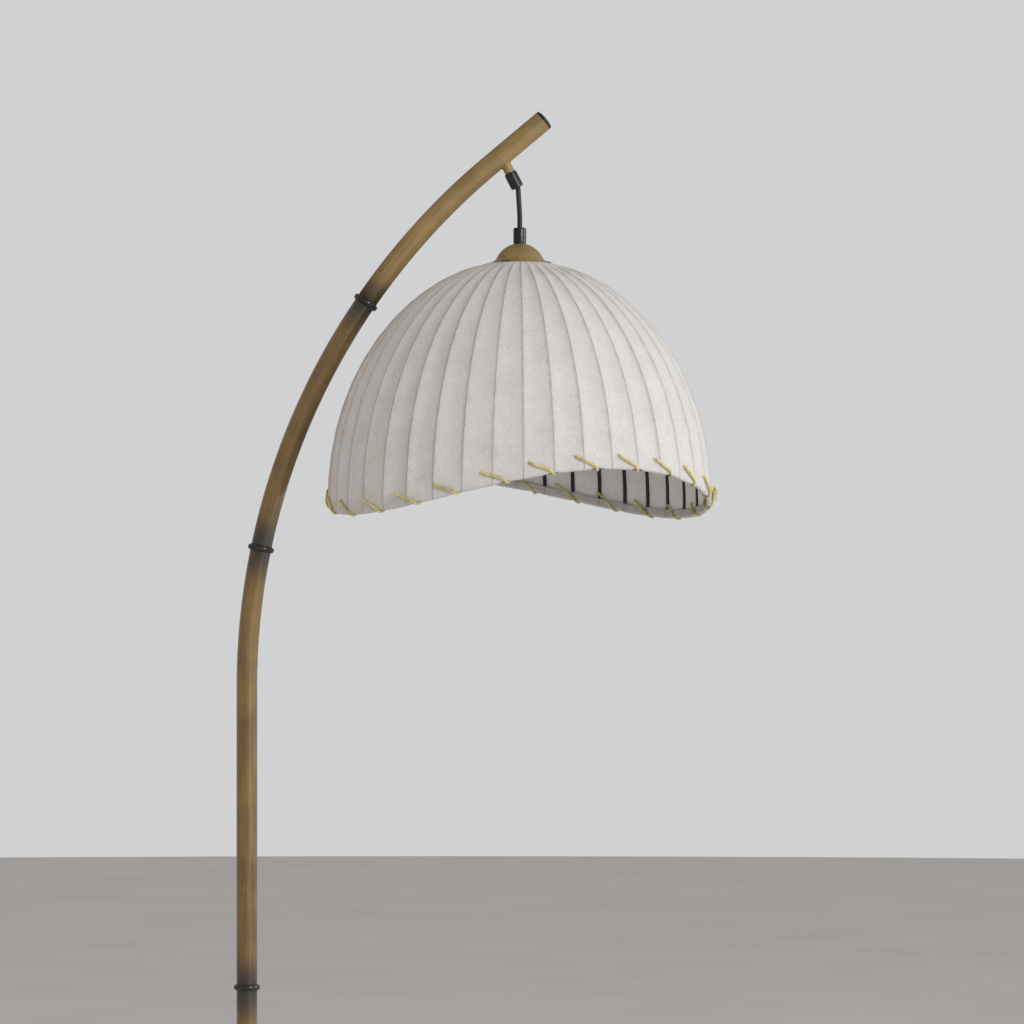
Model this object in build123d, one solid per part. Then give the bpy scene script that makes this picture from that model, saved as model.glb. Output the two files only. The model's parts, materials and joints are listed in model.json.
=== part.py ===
from build123d import *
from math import acos, asin, cos, degrees, pi, radians, sin, sqrt, tan
import os

# Arc floor lamp. Millimetres. Origin: centre of the base's underside, on the pole's axis.
# +Z is up and +X is the way the arm reaches, so the whole arm lies in the XZ plane.

# ---- pole: a straight foot, one long bend, a straight tip, screwed together at its node rings ----
TUBE_DIAMETER = 25.0
TUBE_WALL = 1.5
STRAIGHT_HEIGHT = 1011.0         # floor to the start of the bend
ARC_RADIUS = 815.0               # of the tube's centreline
ARC_ANGLE = 50.0                 # degrees of lean at the end of the bend
TIP_LENGTH = 83.5                # straight end beyond the bend
FOOT_RING_HEIGHT = 124.0
LOW_RING_HEIGHT = 650.0          # lowest screwed joint
MID_RING_ANGLE = 11.7            # joints on the bend, in degrees of lean
HIGH_RING_ANGLE = 34.4
RING_HEIGHT = 8.0
RING_PROUD = 3.3
RING_EDGE = 2.9
PLUG_LENGTH = 20.0
PLUG_CLEARANCE = 0.1
JOINT_STUD_DIAMETER = 14.0
LEAD_ROOM = 1.6                  # radial room round the lead in every bore
THREAD_CLEARANCE = 0.08          # radial, threads drawn at their meeting diameter
STUD_SHORT = 2.0                 # a stud's end below its plug's end
OVER = 1.0                       # how far a cut runs past a face
END_CAP_FLANGE = 3.0
END_CAP_DOME = 2.0

# ---- base ----
BASE_DIAMETER = 290.0
BASE_HEIGHT = 34.0
BASE_WALL = 1.5
BASE_EDGE = 9.0
PAD_THICKNESS = 3.0
PAD_INSET = 3.0
WEIGHT_CLEARANCE = 1.0
WEIGHT_WEB = 6.0                 # iron left above the nut recess
NUT_RECESS_RADIUS = 34.0
NUT_FLATS = 24.0
NUT_HEIGHT = 5.0
WASHER_DIAMETER = 36.0
WASHER_THICKNESS = 2.0
FOOT_COLLAR_DIAMETER = 46.0
FOOT_COLLAR_HEIGHT = 14.0
FOOT_COLLAR_RIM = 2.0            # flat left inside the collar's rounded edge
STUD_PAST_NUT = 0.5
INLET_HEIGHT = 10.0              # lead's centre above the floor where it enters the base
INLET_BUSH_DIAMETER = 10.0
INLET_FLANGE_DIAMETER = 13.0
INLET_FLANGE = 2.0
INLET_LENGTH = 10.0
INLET_BORE_CLEARANCE = 0.4
INLET_FIT = 0.1

# ---- arm stub, cord grips and pendant cord ----
STUB_PLACE = 18.5                # along the tip, from the end of the bend
STUB_LEAN = 27.0                 # degrees from straight down
STUB_DIAMETER = 12.0
STUB_WALL = 0.9
STUB_LENGTH = 23.0               # from the tube's centreline
NIPPLE_DIAMETER = 10.0
NIPPLE_IN_GRIP = 8.0
STUB_NIPPLE_LENGTH = 16.0
GRIP_DIAMETER = 15.4
GRIP_LENGTH = 20.0
GRIP_EDGE = 1.6
GRIP_BORE_CLEARANCE = 0.35
GRIP_SCREW_DIAMETER = 4.0
GRIP_SCREW_HEIGHT = 8.0          # from the cord's mouth of a grip
GRIP_SCREW_SUNK = 0.6
GRIP_SCREW_BITE = 0.3            # into the room round the cord
SLOT_WIDTH = 0.8
SLOT_DEPTH = 1.0
CORD_DIAMETER = 6.0
CORD_GAP = 0.4                   # between the swinging cord's round end and what holds it
MOUTH_TO_PIVOT = 5.5
PIVOT_TO_PIVOT = 39.6            # straight hanging length of the cord
LEAD_TURN = 7.0                  # where the lead turns down into the stub

# ---- cap, lampholder and bulb ----
CAP_HEIGHT = 20.6
CAP_DOME_RADIUS = 30.3
CAP_TOP_RADIUS = 8.6
CAP_FLANGE_RADIUS = 35.0
CAP_WALL = 1.2
CAP_BOSS_DIAMETER = 25.2         # thicker middle of the cap, under the grip
CAP_BOSS_THICKNESS = 2.2
CAP_HOLE_CLEARANCE = 0.3
LOCKNUT_FLATS = 14.0
LOCKNUT_HEIGHT = 3.0
HOLDER_DIAMETER = 39.6
HOLDER_FLANGE_DIAMETER = 45.0
HOLDER_FLANGE = 2.0
HOLDER_WALL = 2.2
HOLDER_LENGTH = 42.0
HOLDER_NECK_DIAMETER = 31.6
HOLDER_NECK_HEIGHT = 9.0
HOLDER_NECK_WALL = 2.0
HOLDER_CAP_TOP = 3.0
HOLDER_EDGE = 4.0
SHADE_RING_DIAMETER = 56.0
SHADE_RING_HEIGHT = 8.0
SHADE_RING_FLANGE = 2.0
SHADE_RING_WALL = 4.0
HUB_CLEARANCE = 0.4
HUB_THICKNESS = 1.5
HUB_WIDTH = 8.0
INSULATOR_HEIGHT = 10.0
INSULATOR_CLEARANCE = 0.3
LEAD_SHORT = 2.0                 # lead's end above the insulator's foot
CONTACT_LENGTH = 16.0
CONTACT_WIDTH = 6.0
CONTACT_THICKNESS = 0.8
CONTACT_GAP = 1.0                # left between the contact and the bulb's tip
SHELL_WALL = 0.5
SHELL_INSET = 3.0
BULB_CAP_DIAMETER = 26.2
BULB_CAP_LENGTH = 22.0
BULB_CAP_CLEARANCE = 0.4
BULB_CAP_TOP_DIAMETER = 12.0
BULB_SHOULDER_HEIGHT = 3.5
BULB_TIP_DIAMETER = 8.0
BULB_TIP_HEIGHT = 3.0
BULB_TIP_EDGE = 1.2
BULB_TIP_GAP = 0.5
BULB_TIP_PROUD = 0.2             # cap's top below the tip's foot
BULB_DIAMETER = 60.0
BULB_NECK_DIAMETER = 33.0         # at the end of the neck, where the ball begins to swell
BULB_LENGTH = 82.0               # glass, below the cap
BULB_WALL = 0.8
BULB_NECK_LENGTH = 13.0
BULB_GLASS_FIT = 0.2
LED_POST_DIAMETER = 12.0
LED_POST_LENGTH = 38.0
LED_POST_IN_CAP = 8.0
LED_PLATE_DIAMETER = 22.0
LED_PLATE_THICKNESS = 2.0

# ---- shade ----
SHADE_RADIUS = 230.0
SHADE_RISE = 286.0               # of the whole half-ellipse that the ribs follow
TOP_EDGE_RADIUS = 54.4           # of the cloth where it turns over the top ring
TOP_RING_WIRE = 4.0
FABRIC_THICKNESS = 1.2
RIB_COUNT = 40
RIB_WIDTH = 4.4
RIB_THICKNESS = 1.6
RIB_CLEARANCE = 0.25
RIB_START = 1.0                  # of the first rib, from -Y towards +X
RIB_LAP = 0.85                   # of the ring's half thickness, where a rib ends on its flank
ARM_COUNT = 3
ARM_WIDTH = 10.0
ARM_LAP = 2.0                    # into the hub
ARM_SHOULDER = 6.0               # flat before an arm slopes down
HEM_RISE = 5.0                   # mean hem above the widest level
HEM_WAVE = 25.6                  # half the height of the saddle-shaped hem
HEM_WAVE_TURN = 30.0             # of the hem's high place in front, from -Y towards +X
HEM_WIRE = 3.0
HUB_TO_TOP_EDGE = 4.9
STITCH_COUNT = 26
STITCH_HEIGHT = 15.0
STITCH_THREAD = 2.2
STITCH_SLACK = 1.8
STITCH_CORNER = 0.6
STITCH_LEAN = 7.0
STITCH_START = 2.5               # of the first stitch, from -Y towards +X

# ---- values worked out from those above ----
tube_r = TUBE_DIAMETER / 2
bore_r = tube_r - TUBE_WALL
cord_r = CORD_DIAMETER / 2
lead_bore_r = cord_r + LEAD_ROOM
stud_r = JOINT_STUD_DIAMETER / 2
nipple_r = NIPPLE_DIAMETER / 2
nipple_bore_r = cord_r + GRIP_BORE_CLEARANCE
base_r = BASE_DIAMETER / 2
under_cover = BASE_HEIGHT - BASE_WALL
web_under = under_cover - WEIGHT_WEB
stud_foot = web_under - WASHER_THICKNESS - NUT_HEIGHT - STUD_PAST_NUT
lead_foot_bend = stud_foot - INLET_HEIGHT
foot_plug_top = BASE_HEIGHT + PLUG_LENGTH
bend_axis = Axis((ARC_RADIUS, 0, STRAIGHT_HEIGHT), (0, 1, 0))


def along_pole(height=None, lean=None, tip=0.0):
    """Place on the pole's centreline with Z along the tube: a height on the straight, a lean on the
    bend, or a distance along the straight tip."""
    if height is not None:
        return Pos(0, 0, height)
    a = radians(lean)
    x = ARC_RADIUS * (1 - cos(a)) + tip * sin(a)
    z = STRAIGHT_HEIGHT + ARC_RADIUS * sin(a) + tip * cos(a)
    return Pos(x, 0, z) * Rot(0, lean, 0)


def rod(radius, low, high):
    """Round bar on the Z axis between two heights."""
    return Pos(0, 0, low) * Cylinder(radius, high - low, align=(Align.CENTER, Align.CENTER, Align.MIN))


def pipe(outer, inner, low, high):
    """Round tube on the Z axis between two heights."""
    return rod(outer, low, high) - rod(inner, low - OVER, high + OVER)


def bent_pipe(outer, inner, start, end):
    """Tube along the pole's bend between two leans, in degrees."""
    ring = Pos(0, 0, STRAIGHT_HEIGHT) * (Circle(outer) - Circle(inner))
    return revolve(ring, bend_axis, end - start).rotate(bend_axis, start)


def lathe(*points):
    """Solid of revolution about Z of a closed outline given as (radius, height) points."""
    outline = make_face(Plane.XZ * Polyline(*points, close=True))
    return revolve(outline, Axis.Z)


def hex_nut(flats, height, hole):
    """Hexagon nut standing on the XY plane."""
    blank = extrude(RegularPolygon(flats / 2, 6, major_radius=False), height)
    return blank - rod(hole, -OVER, height + OVER)


# ---- base ----
cover_blank = rod(base_r, PAD_THICKNESS, BASE_HEIGHT)
cover_blank = fillet(cover_blank.edges().group_by(Axis.Z)[-1], BASE_EDGE)
cover_room = rod(base_r - BASE_WALL, PAD_THICKNESS - OVER, under_cover)
cover_room = fillet(cover_room.edges().group_by(Axis.Z)[-1], BASE_EDGE - BASE_WALL)
stud_hole_r = stud_r + THREAD_CLEARANCE
inlet_place = Pos(-base_r, 0, INLET_HEIGHT) * Rot(0, 90, 0)
inlet_hole = inlet_place * rod(INLET_BUSH_DIAMETER / 2, -OVER, BASE_WALL + OVER)
stud_hole = rod(stud_hole_r, 0, BASE_HEIGHT + OVER)
base_cover = cover_blank - cover_room - stud_hole - inlet_hole

base_pad = rod(base_r - PAD_INSET, 0, PAD_THICKNESS)

weight_r = base_r - BASE_WALL - WEIGHT_CLEARANCE
base_weight = rod(weight_r, PAD_THICKNESS, under_cover)
base_weight = fillet(base_weight.edges().group_by(Axis.Z)[-1], BASE_EDGE)
lead_channel = Pos(-weight_r / 2, 0, INLET_HEIGHT / 2)
lead_channel *= Box(weight_r + 2 * OVER, INLET_FLANGE_DIAMETER, INLET_HEIGHT + INLET_FLANGE_DIAMETER)
base_weight = base_weight - rod(NUT_RECESS_RADIUS, 0, web_under) - stud_hole - lead_channel

base_stud = pipe(stud_r, lead_bore_r, stud_foot, foot_plug_top - STUD_SHORT)
base_washer = pipe(WASHER_DIAMETER / 2, stud_hole_r, web_under - WASHER_THICKNESS, web_under)
nut_low = web_under - WASHER_THICKNESS - NUT_HEIGHT
base_nut = Pos(0, 0, nut_low) * hex_nut(NUT_FLATS, NUT_HEIGHT, stud_hole_r)

collar_top = BASE_HEIGHT + FOOT_COLLAR_HEIGHT
foot_collar = pipe(FOOT_COLLAR_DIAMETER / 2, tube_r + PLUG_CLEARANCE, BASE_HEIGHT, collar_top)
collar_rim = foot_collar.edges().group_by(Axis.Z)[-1].sort_by(SortBy.RADIUS)[-1]
foot_collar = fillet(collar_rim, (FOOT_COLLAR_DIAMETER - TUBE_DIAMETER) / 2 - FOOT_COLLAR_RIM)

bush_bore_r = cord_r + INLET_BORE_CLEARANCE
inlet_bush = pipe(INLET_BUSH_DIAMETER / 2 - INLET_FIT, bush_bore_r, 0, INLET_LENGTH)
inlet_bush += pipe(INLET_FLANGE_DIAMETER / 2, bush_bore_r, -INLET_FLANGE, 0)
inlet_bush = inlet_place * inlet_bush

# ---- pole sections ----
joints = [
    along_pole(height=LOW_RING_HEIGHT),
    along_pole(lean=MID_RING_ANGLE),
    along_pole(lean=HIGH_RING_ANGLE),
]
pole_foot_section = pipe(tube_r, bore_r, BASE_HEIGHT, LOW_RING_HEIGHT)
pole_middle_section = pipe(tube_r, bore_r, LOW_RING_HEIGHT, STRAIGHT_HEIGHT)
pole_middle_section += bent_pipe(tube_r, bore_r, 0, MID_RING_ANGLE)
arm_lower_section = bent_pipe(tube_r, bore_r, MID_RING_ANGLE, HIGH_RING_ANGLE)
arm_upper_section = bent_pipe(tube_r, bore_r, HIGH_RING_ANGLE, ARC_ANGLE)
arm_upper_section += along_pole(lean=ARC_ANGLE) * pipe(tube_r, bore_r, 0, TIP_LENGTH)

bend_sag = PLUG_LENGTH**2 / (2 * ARC_RADIUS)
plug_r = bore_r - PLUG_CLEARANCE - bend_sag
joint_plug = pipe(plug_r, stud_hole_r, 0, PLUG_LENGTH)
foot_plug = Pos(0, 0, BASE_HEIGHT) * joint_plug
joint_stud = pipe(stud_r, lead_bore_r, STUD_SHORT - PLUG_LENGTH, PLUG_LENGTH - STUD_SHORT)

ring_outline = Pos(tube_r + RING_PROUD / 2 + PLUG_CLEARANCE, 0) * Rectangle(RING_PROUD, RING_HEIGHT)
ring_outline = fillet(ring_outline.vertices().group_by(Axis.X)[-1], RING_EDGE)
node_ring = revolve(Plane.XZ * ring_outline, Axis.Z)

cap_low = TIP_LENGTH - PLUG_LENGTH / 2
end_cap = rod(plug_r, cap_low, TIP_LENGTH) + rod(tube_r, TIP_LENGTH, TIP_LENGTH + END_CAP_FLANGE)
dome_sphere_r = (tube_r**2 + END_CAP_DOME**2) / (2 * END_CAP_DOME)
dome_foot = TIP_LENGTH + END_CAP_FLANGE
dome_ball = Pos(0, 0, dome_foot + END_CAP_DOME - dome_sphere_r) * Sphere(dome_sphere_r)
end_cap += dome_ball & rod(tube_r, dome_foot - OVER, dome_foot + END_CAP_DOME + OVER)
end_cap = along_pole(lean=ARC_ANGLE) * end_cap

# ---- stub, upper grip and the lead inside the pole ----
stub_root = along_pole(lean=ARC_ANGLE, tip=STUB_PLACE).position
stub_frame = Pos(*stub_root) * Rot(0, 180 - STUB_LEAN, 0)
stub_bore_r = STUB_DIAMETER / 2 - STUB_WALL
arm_stub = stub_frame * pipe(STUB_DIAMETER / 2, stub_bore_r, 0, STUB_LENGTH)
arm_stub -= along_pole(lean=ARC_ANGLE) * rod(tube_r, 0, TIP_LENGTH)
arm_upper_section -= stub_frame * rod(lead_bore_r, 0, STUB_LENGTH)


def cord_grip():
    """Round grip on the Z axis: nipple thread from its foot, cord bore from its mouth at the top."""
    body = rod(GRIP_DIAMETER / 2, 0, GRIP_LENGTH)
    body = fillet(body.edges().group_by(Axis.Z)[-1], GRIP_EDGE)
    body -= rod(nipple_r + THREAD_CLEARANCE, -OVER, NIPPLE_IN_GRIP)
    body -= rod(nipple_bore_r, 0, GRIP_LENGTH + OVER)
    screw_place = Pos(0, 0, GRIP_LENGTH - GRIP_SCREW_HEIGHT) * Rot(-90, 0, 0)
    screw_reach = nipple_bore_r - GRIP_SCREW_BITE
    screw_top = GRIP_DIAMETER / 2 - GRIP_SCREW_SUNK
    body -= screw_place * rod(GRIP_SCREW_DIAMETER / 2 + THREAD_CLEARANCE, 0, GRIP_DIAMETER)
    screw = screw_place * rod(GRIP_SCREW_DIAMETER / 2, screw_reach, screw_top)
    slot = Box(SLOT_WIDTH, GRIP_SCREW_DIAMETER + 2 * OVER, 2 * SLOT_DEPTH)
    screw -= screw_place * Pos(0, 0, screw_top) * slot
    return body, screw


grip_body, grip_screw = cord_grip()
upper_place = stub_frame * Pos(0, 0, STUB_LENGTH)
upper_cord_grip = upper_place * grip_body
upper_grip_screw = upper_place * grip_screw
nipple_low = STUB_LENGTH + NIPPLE_IN_GRIP - STUB_NIPPLE_LENGTH
stub_nipple = stub_frame * pipe(nipple_r, nipple_bore_r, nipple_low, nipple_low + STUB_NIPPLE_LENGTH)

pivot_reach = STUB_LENGTH + GRIP_LENGTH + MOUTH_TO_PIVOT
pivot = (stub_frame * Pos(0, 0, pivot_reach)).position
lead_end = (stub_frame * Pos(0, 0, pivot_reach - cord_r - CORD_GAP)).position
bend_corner_height = STRAIGHT_HEIGHT + ARC_RADIUS * tan(radians(ARC_ANGLE / 2))
lead_points = [
    (-base_r + INLET_LENGTH, 0, INLET_HEIGHT),
    (0, 0, INLET_HEIGHT),
    (0, 0, bend_corner_height),
    tuple(stub_root),
    tuple(lead_end),
]
lead_path = FilletPolyline(*lead_points, radius=[lead_foot_bend, ARC_RADIUS, LEAD_TURN])
lead_start = Plane(origin=lead_points[0], z_dir=(1, 0, 0))
inner_lead = sweep(lead_start * Circle(cord_r), path=lead_path)

# ---- what hangs: the pendant cord and everything under it, on one upright axis ----
axis_x = pivot.X
cord_top = pivot.Z
cord_foot = cord_top - PIVOT_TO_PIVOT
hang = Pos(axis_x, 0, 0)
pendant_cord = rod(cord_r, cord_foot, cord_top)
pendant_cord += Pos(0, 0, cord_top) * Sphere(cord_r)
pendant_cord += Pos(0, 0, cord_foot) * Sphere(cord_r)

grip_top = cord_foot - cord_r - CORD_GAP
grip_foot = grip_top - GRIP_LENGTH
lower_cord_grip = Pos(0, 0, grip_foot) * grip_body
lower_grip_screw = Pos(0, 0, grip_foot) * grip_screw

cap_rim = grip_foot - CAP_HEIGHT
dome_centre = grip_foot - sqrt(CAP_DOME_RADIUS**2 - CAP_TOP_RADIUS**2)
dome_foot_r = sqrt(CAP_DOME_RADIUS**2 - (cap_rim + CAP_WALL - dome_centre) ** 2)
shade_cap = Pos(0, 0, dome_centre) * (Sphere(CAP_DOME_RADIUS) - Sphere(CAP_DOME_RADIUS - CAP_WALL))
shade_cap &= rod(CAP_FLANGE_RADIUS, cap_rim, grip_foot)
cap_inner_top = grip_foot - CAP_BOSS_THICKNESS
cap_boss = rod(CAP_BOSS_DIAMETER / 2, cap_inner_top, grip_foot)
shade_cap += cap_boss & (Pos(0, 0, dome_centre) * Sphere(CAP_DOME_RADIUS))
shade_cap += pipe(CAP_FLANGE_RADIUS, dome_foot_r - CAP_WALL, cap_rim, cap_rim + CAP_WALL)
shade_cap -= rod(nipple_r + CAP_HOLE_CLEARANCE, cap_rim, grip_foot + OVER)

# lampholder: a cap with a flange over the hub, a threaded body under it, and the live parts inside
hub_top = cap_rim
hub_foot = hub_top - HUB_THICKNESS
holder_r = HOLDER_DIAMETER / 2
holder_neck_r = HOLDER_NECK_DIAMETER / 2
holder_top = hub_top + HOLDER_FLANGE + HOLDER_NECK_HEIGHT
holder_cap = rod(HOLDER_FLANGE_DIAMETER / 2, hub_top, hub_top + HOLDER_FLANGE)
holder_cap += rod(holder_neck_r, hub_top, holder_top)
holder_cap = fillet(holder_cap.edges().group_by(Axis.Z)[-1], HOLDER_EDGE)
holder_cap -= rod(holder_neck_r - HOLDER_NECK_WALL, hub_top - OVER, holder_top - HOLDER_CAP_TOP)
holder_cap -= rod(nipple_r + THREAD_CLEARANCE, hub_top, holder_top + OVER)
nipple_top = grip_foot + NIPPLE_IN_GRIP
nipple_foot = holder_top - HOLDER_CAP_TOP
lower_nipple = pipe(nipple_r, nipple_bore_r, nipple_foot, nipple_top)
locknut = Pos(0, 0, cap_inner_top - LOCKNUT_HEIGHT) * hex_nut(
    LOCKNUT_FLATS, LOCKNUT_HEIGHT, nipple_r + THREAD_CLEARANCE
)

holder_low = hub_top - HOLDER_LENGTH
holder_body = pipe(holder_r, holder_r - HOLDER_WALL, holder_low, hub_top)
insulator_low = hub_top - INSULATOR_HEIGHT
insulator_r = holder_r - HOLDER_WALL - INSULATOR_CLEARANCE
holder_insulator = pipe(insulator_r, lead_bore_r, insulator_low, hub_top)
bulb_cap_r = BULB_CAP_DIAMETER / 2
shell_r = bulb_cap_r + BULB_CAP_CLEARANCE
contact_low = insulator_low - 2 * CONTACT_THICKNESS
bulb_seat = contact_low - CONTACT_GAP - BULB_TIP_HEIGHT
screw_shell = pipe(shell_r + SHELL_WALL, shell_r, holder_low + SHELL_INSET, insulator_low)
hung = (Align.CENTER, Align.CENTER, Align.MAX)
centre_contact = Box(CONTACT_LENGTH, CONTACT_WIDTH, CONTACT_THICKNESS, align=hung)
centre_contact += Box(CONTACT_WIDTH, CONTACT_WIDTH, 2 * CONTACT_THICKNESS, align=hung)
centre_contact = Pos(0, 0, insulator_low) * centre_contact
ring_bore_r = holder_r + HUB_CLEARANCE
shade_ring = pipe(SHADE_RING_DIAMETER / 2, ring_bore_r, hub_foot - SHADE_RING_FLANGE, hub_foot)
shade_ring += pipe(holder_r + SHADE_RING_WALL, ring_bore_r, hub_foot - SHADE_RING_HEIGHT, hub_foot)
lampholder_lead = rod(cord_r, insulator_low + LEAD_SHORT, grip_top)

tip_r = BULB_TIP_DIAMETER / 2
bulb_contact = rod(tip_r, bulb_seat, bulb_seat + BULB_TIP_HEIGHT)
bulb_contact = fillet(bulb_contact.edges().group_by(Axis.Z)[-1], BULB_TIP_EDGE)
bulb_shoulder = bulb_seat - BULB_SHOULDER_HEIGHT
bulb_cap_top = bulb_seat - BULB_TIP_PROUD
cap_low_end = bulb_shoulder - BULB_CAP_LENGTH
bulb_cap = lathe(
    (tip_r + BULB_TIP_GAP, bulb_cap_top),
    (BULB_CAP_TOP_DIAMETER / 2, bulb_cap_top),
    (bulb_cap_r, bulb_shoulder),
    (bulb_cap_r, cap_low_end),
    (bulb_cap_r - SHELL_WALL, cap_low_end),
    (bulb_cap_r - SHELL_WALL, bulb_shoulder - SHELL_WALL),
    (tip_r + BULB_TIP_GAP, bulb_cap_top - 2 * SHELL_WALL),
)
ball_r = BULB_DIAMETER / 2
neck_r = BULB_NECK_DIAMETER / 2


def bulb_form(inset):
    """Solid bulb: a ball with a neck that narrows up to the cap, drawn in by an inset."""
    mouth = (bulb_cap_r - SHELL_WALL - BULB_GLASS_FIT - inset, cap_low_end)
    ball_height = cap_low_end - BULB_LENGTH + ball_r
    side = Spline(
        mouth,
        (neck_r - inset, cap_low_end - BULB_NECK_LENGTH),
        (ball_r - inset, ball_height),
        tangents=((0.05, -1), (0, -1)),
    )
    ball = CenterArc((0, ball_height), ball_r - inset, 0, -90)
    closing = Polyline((0, ball_height - ball_r + inset), (0, cap_low_end), mouth)
    return revolve(Plane.XZ * make_face(side + ball + closing), Axis.Z)


bulb_glass = bulb_form(0) - bulb_form(BULB_WALL)
led_post = rod(LED_POST_DIAMETER / 2, cap_low_end - LED_POST_LENGTH, cap_low_end + LED_POST_IN_CAP)
led_plate_low = cap_low_end - LED_POST_LENGTH - LED_PLATE_THICKNESS
led_post += rod(LED_PLATE_DIAMETER / 2, led_plate_low, led_plate_low + LED_PLATE_THICKNESS)

# ---- shade: wire frame, cloth and the stitching round its hem ----
top_rise = SHADE_RISE * sqrt(1 - (TOP_EDGE_RADIUS / SHADE_RADIUS) ** 2)
top_level = hub_foot - HUB_TO_TOP_EDGE
wide_level = top_level - top_rise
hem_mean = wide_level + HEM_RISE
rib_inset = FABRIC_THICKNESS + RIB_CLEARANCE + RIB_THICKNESS / 2


def ellipsoid(inset):
    """Solid ellipsoid of the shade's outside, drawn in by an inset."""
    arc = EllipticalCenterArc((0, 0), SHADE_RADIUS - inset, SHADE_RISE - inset, -90, arc_size=180)
    closing = Line((0, SHADE_RISE - inset), (0, inset - SHADE_RISE))
    return Pos(0, 0, wide_level) * revolve(Plane.XZ * make_face(arc + closing), Axis.Z)


def under_hem(lift):
    """Everything under the saddle-shaped hem surface, raised by a lift."""
    reach = SHADE_RADIUS * 1.3
    corner = 2 * HEM_WAVE * (reach / SHADE_RADIUS) ** 2
    near_side = [(-reach, -reach, corner), (-reach, reach, -corner)]
    far_side = [(reach, -reach, -corner), (reach, reach, corner)]
    saddle = Face.make_bezier_surface([near_side, far_side])
    block = extrude(saddle, SHADE_RISE * 2, dir=(0, 0, -1))
    return Pos(0, 0, hem_mean + lift) * Rot(0, 0, HEM_WAVE_TURN - 135) * block


def hem_level(turn):
    """Height of the hem at a turn from -Y towards +X, in degrees."""
    return hem_mean + HEM_WAVE * cos(radians(2 * (turn - HEM_WAVE_TURN)))


def round_shade(turn):
    """Turn about Z that takes +X to a turn counted from -Y towards +X."""
    return Rot(0, 0, turn - 90)


above_top = rod(SHADE_RADIUS, top_level, top_level + SHADE_RISE)
shade_fabric = ellipsoid(0) - ellipsoid(FABRIC_THICKNESS) - above_top - under_hem(0)

hem_outer = FABRIC_THICKNESS + RIB_CLEARANCE
hem_wire = ellipsoid(hem_outer) - ellipsoid(hem_outer + HEM_WIRE) - under_hem(0)
hem_wire &= under_hem(HEM_WIRE)

ring_wire_r = TOP_RING_WIRE / 2
ring_inset = FABRIC_THICKNESS + RIB_CLEARANCE + ring_wire_r
ring_level = top_level - ring_inset
ring_share = (ring_level - wide_level) / (SHADE_RISE - ring_inset)
top_ring_r = (SHADE_RADIUS - ring_inset) * sqrt(1 - ring_share**2)
shade_top_ring = Pos(0, 0, ring_level) * Torus(top_ring_r, ring_wire_r)

rib_a = SHADE_RADIUS - rib_inset
rib_b = SHADE_RISE - rib_inset
rib_top = degrees(acos((top_ring_r + RIB_LAP * ring_wire_r) / rib_a))
lowest_hem = hem_mean - HEM_WAVE - wide_level
rib_foot = degrees(asin(lowest_hem / rib_b)) - 1
rib_line = Plane.XZ * EllipticalCenterArc((0, 0), rib_a, rib_b, rib_foot, arc_size=rib_top - rib_foot)
rib_foot_plane = Plane(origin=rib_line @ 0, x_dir=(0, 1, 0), z_dir=rib_line % 0)
rib_section = rib_foot_plane * Rectangle(RIB_WIDTH, RIB_THICKNESS)
one_rib = Pos(0, 0, wide_level) * sweep(rib_section, path=rib_line)
one_rib -= shade_top_ring
hem_cut = under_hem(HEM_WIRE)
rib_pitch = 360 / RIB_COUNT
ribs = [round_shade(RIB_START + k * rib_pitch) * one_rib - hem_cut for k in range(RIB_COUNT)]

hub_inner = holder_r + HUB_CLEARANCE
hub_outer = hub_inner + HUB_WIDTH
arm_outline = make_face(Plane.XZ * Polyline(
    (hub_outer - ARM_LAP, hub_top),
    (hub_outer + ARM_SHOULDER, hub_top),
    (top_ring_r, ring_level + HUB_THICKNESS / 2),
    (top_ring_r, ring_level - HUB_THICKNESS / 2),
    (hub_outer + ARM_SHOULDER - HUB_THICKNESS / 2, hub_foot),
    (hub_outer - ARM_LAP, hub_foot),
    close=True,
))
one_arm = extrude(arm_outline, ARM_WIDTH / 2, both=True) - shade_top_ring
shade_fitter = pipe(hub_outer, hub_inner, hub_foot, hub_top)
for k in range(ARM_COUNT):
    shade_fitter += Rot(0, 0, k * 360 / ARM_COUNT) * one_arm

loop_width = HEM_WIRE + FABRIC_THICKNESS + STITCH_SLACK
loop_outer = Rectangle(loop_width + 2 * STITCH_THREAD, STITCH_HEIGHT + STITCH_THREAD)
loop_outer = fillet(loop_outer.vertices(), STITCH_THREAD + STITCH_CORNER)
loop_inner = Rectangle(loop_width, STITCH_HEIGHT - STITCH_THREAD)
loop_inner = fillet(loop_inner.vertices(), STITCH_CORNER)
one_stitch = extrude(Plane.XZ * (loop_outer - loop_inner), STITCH_THREAD / 2, both=True)
stitches = []
for k in range(STITCH_COUNT):
    turn = STITCH_START + k * 360 / STITCH_COUNT
    rise = hem_level(turn) - wide_level
    level = hem_level(turn) + STITCH_HEIGHT / 2 - STITCH_THREAD
    middle = SHADE_RADIUS * sqrt(1 - (rise / SHADE_RISE) ** 2) - FABRIC_THICKNESS / 2 - HEM_WIRE / 2
    stitches.append(round_shade(turn) * Pos(middle, 0, level) * Rot(STITCH_LEAN, 0, 0) * one_stitch)


# ---- every node, as it is written ----
def group(pieces):
    """Several separate solids as one node."""
    return Compound([solid for piece in pieces for solid in piece.solids()])


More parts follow.
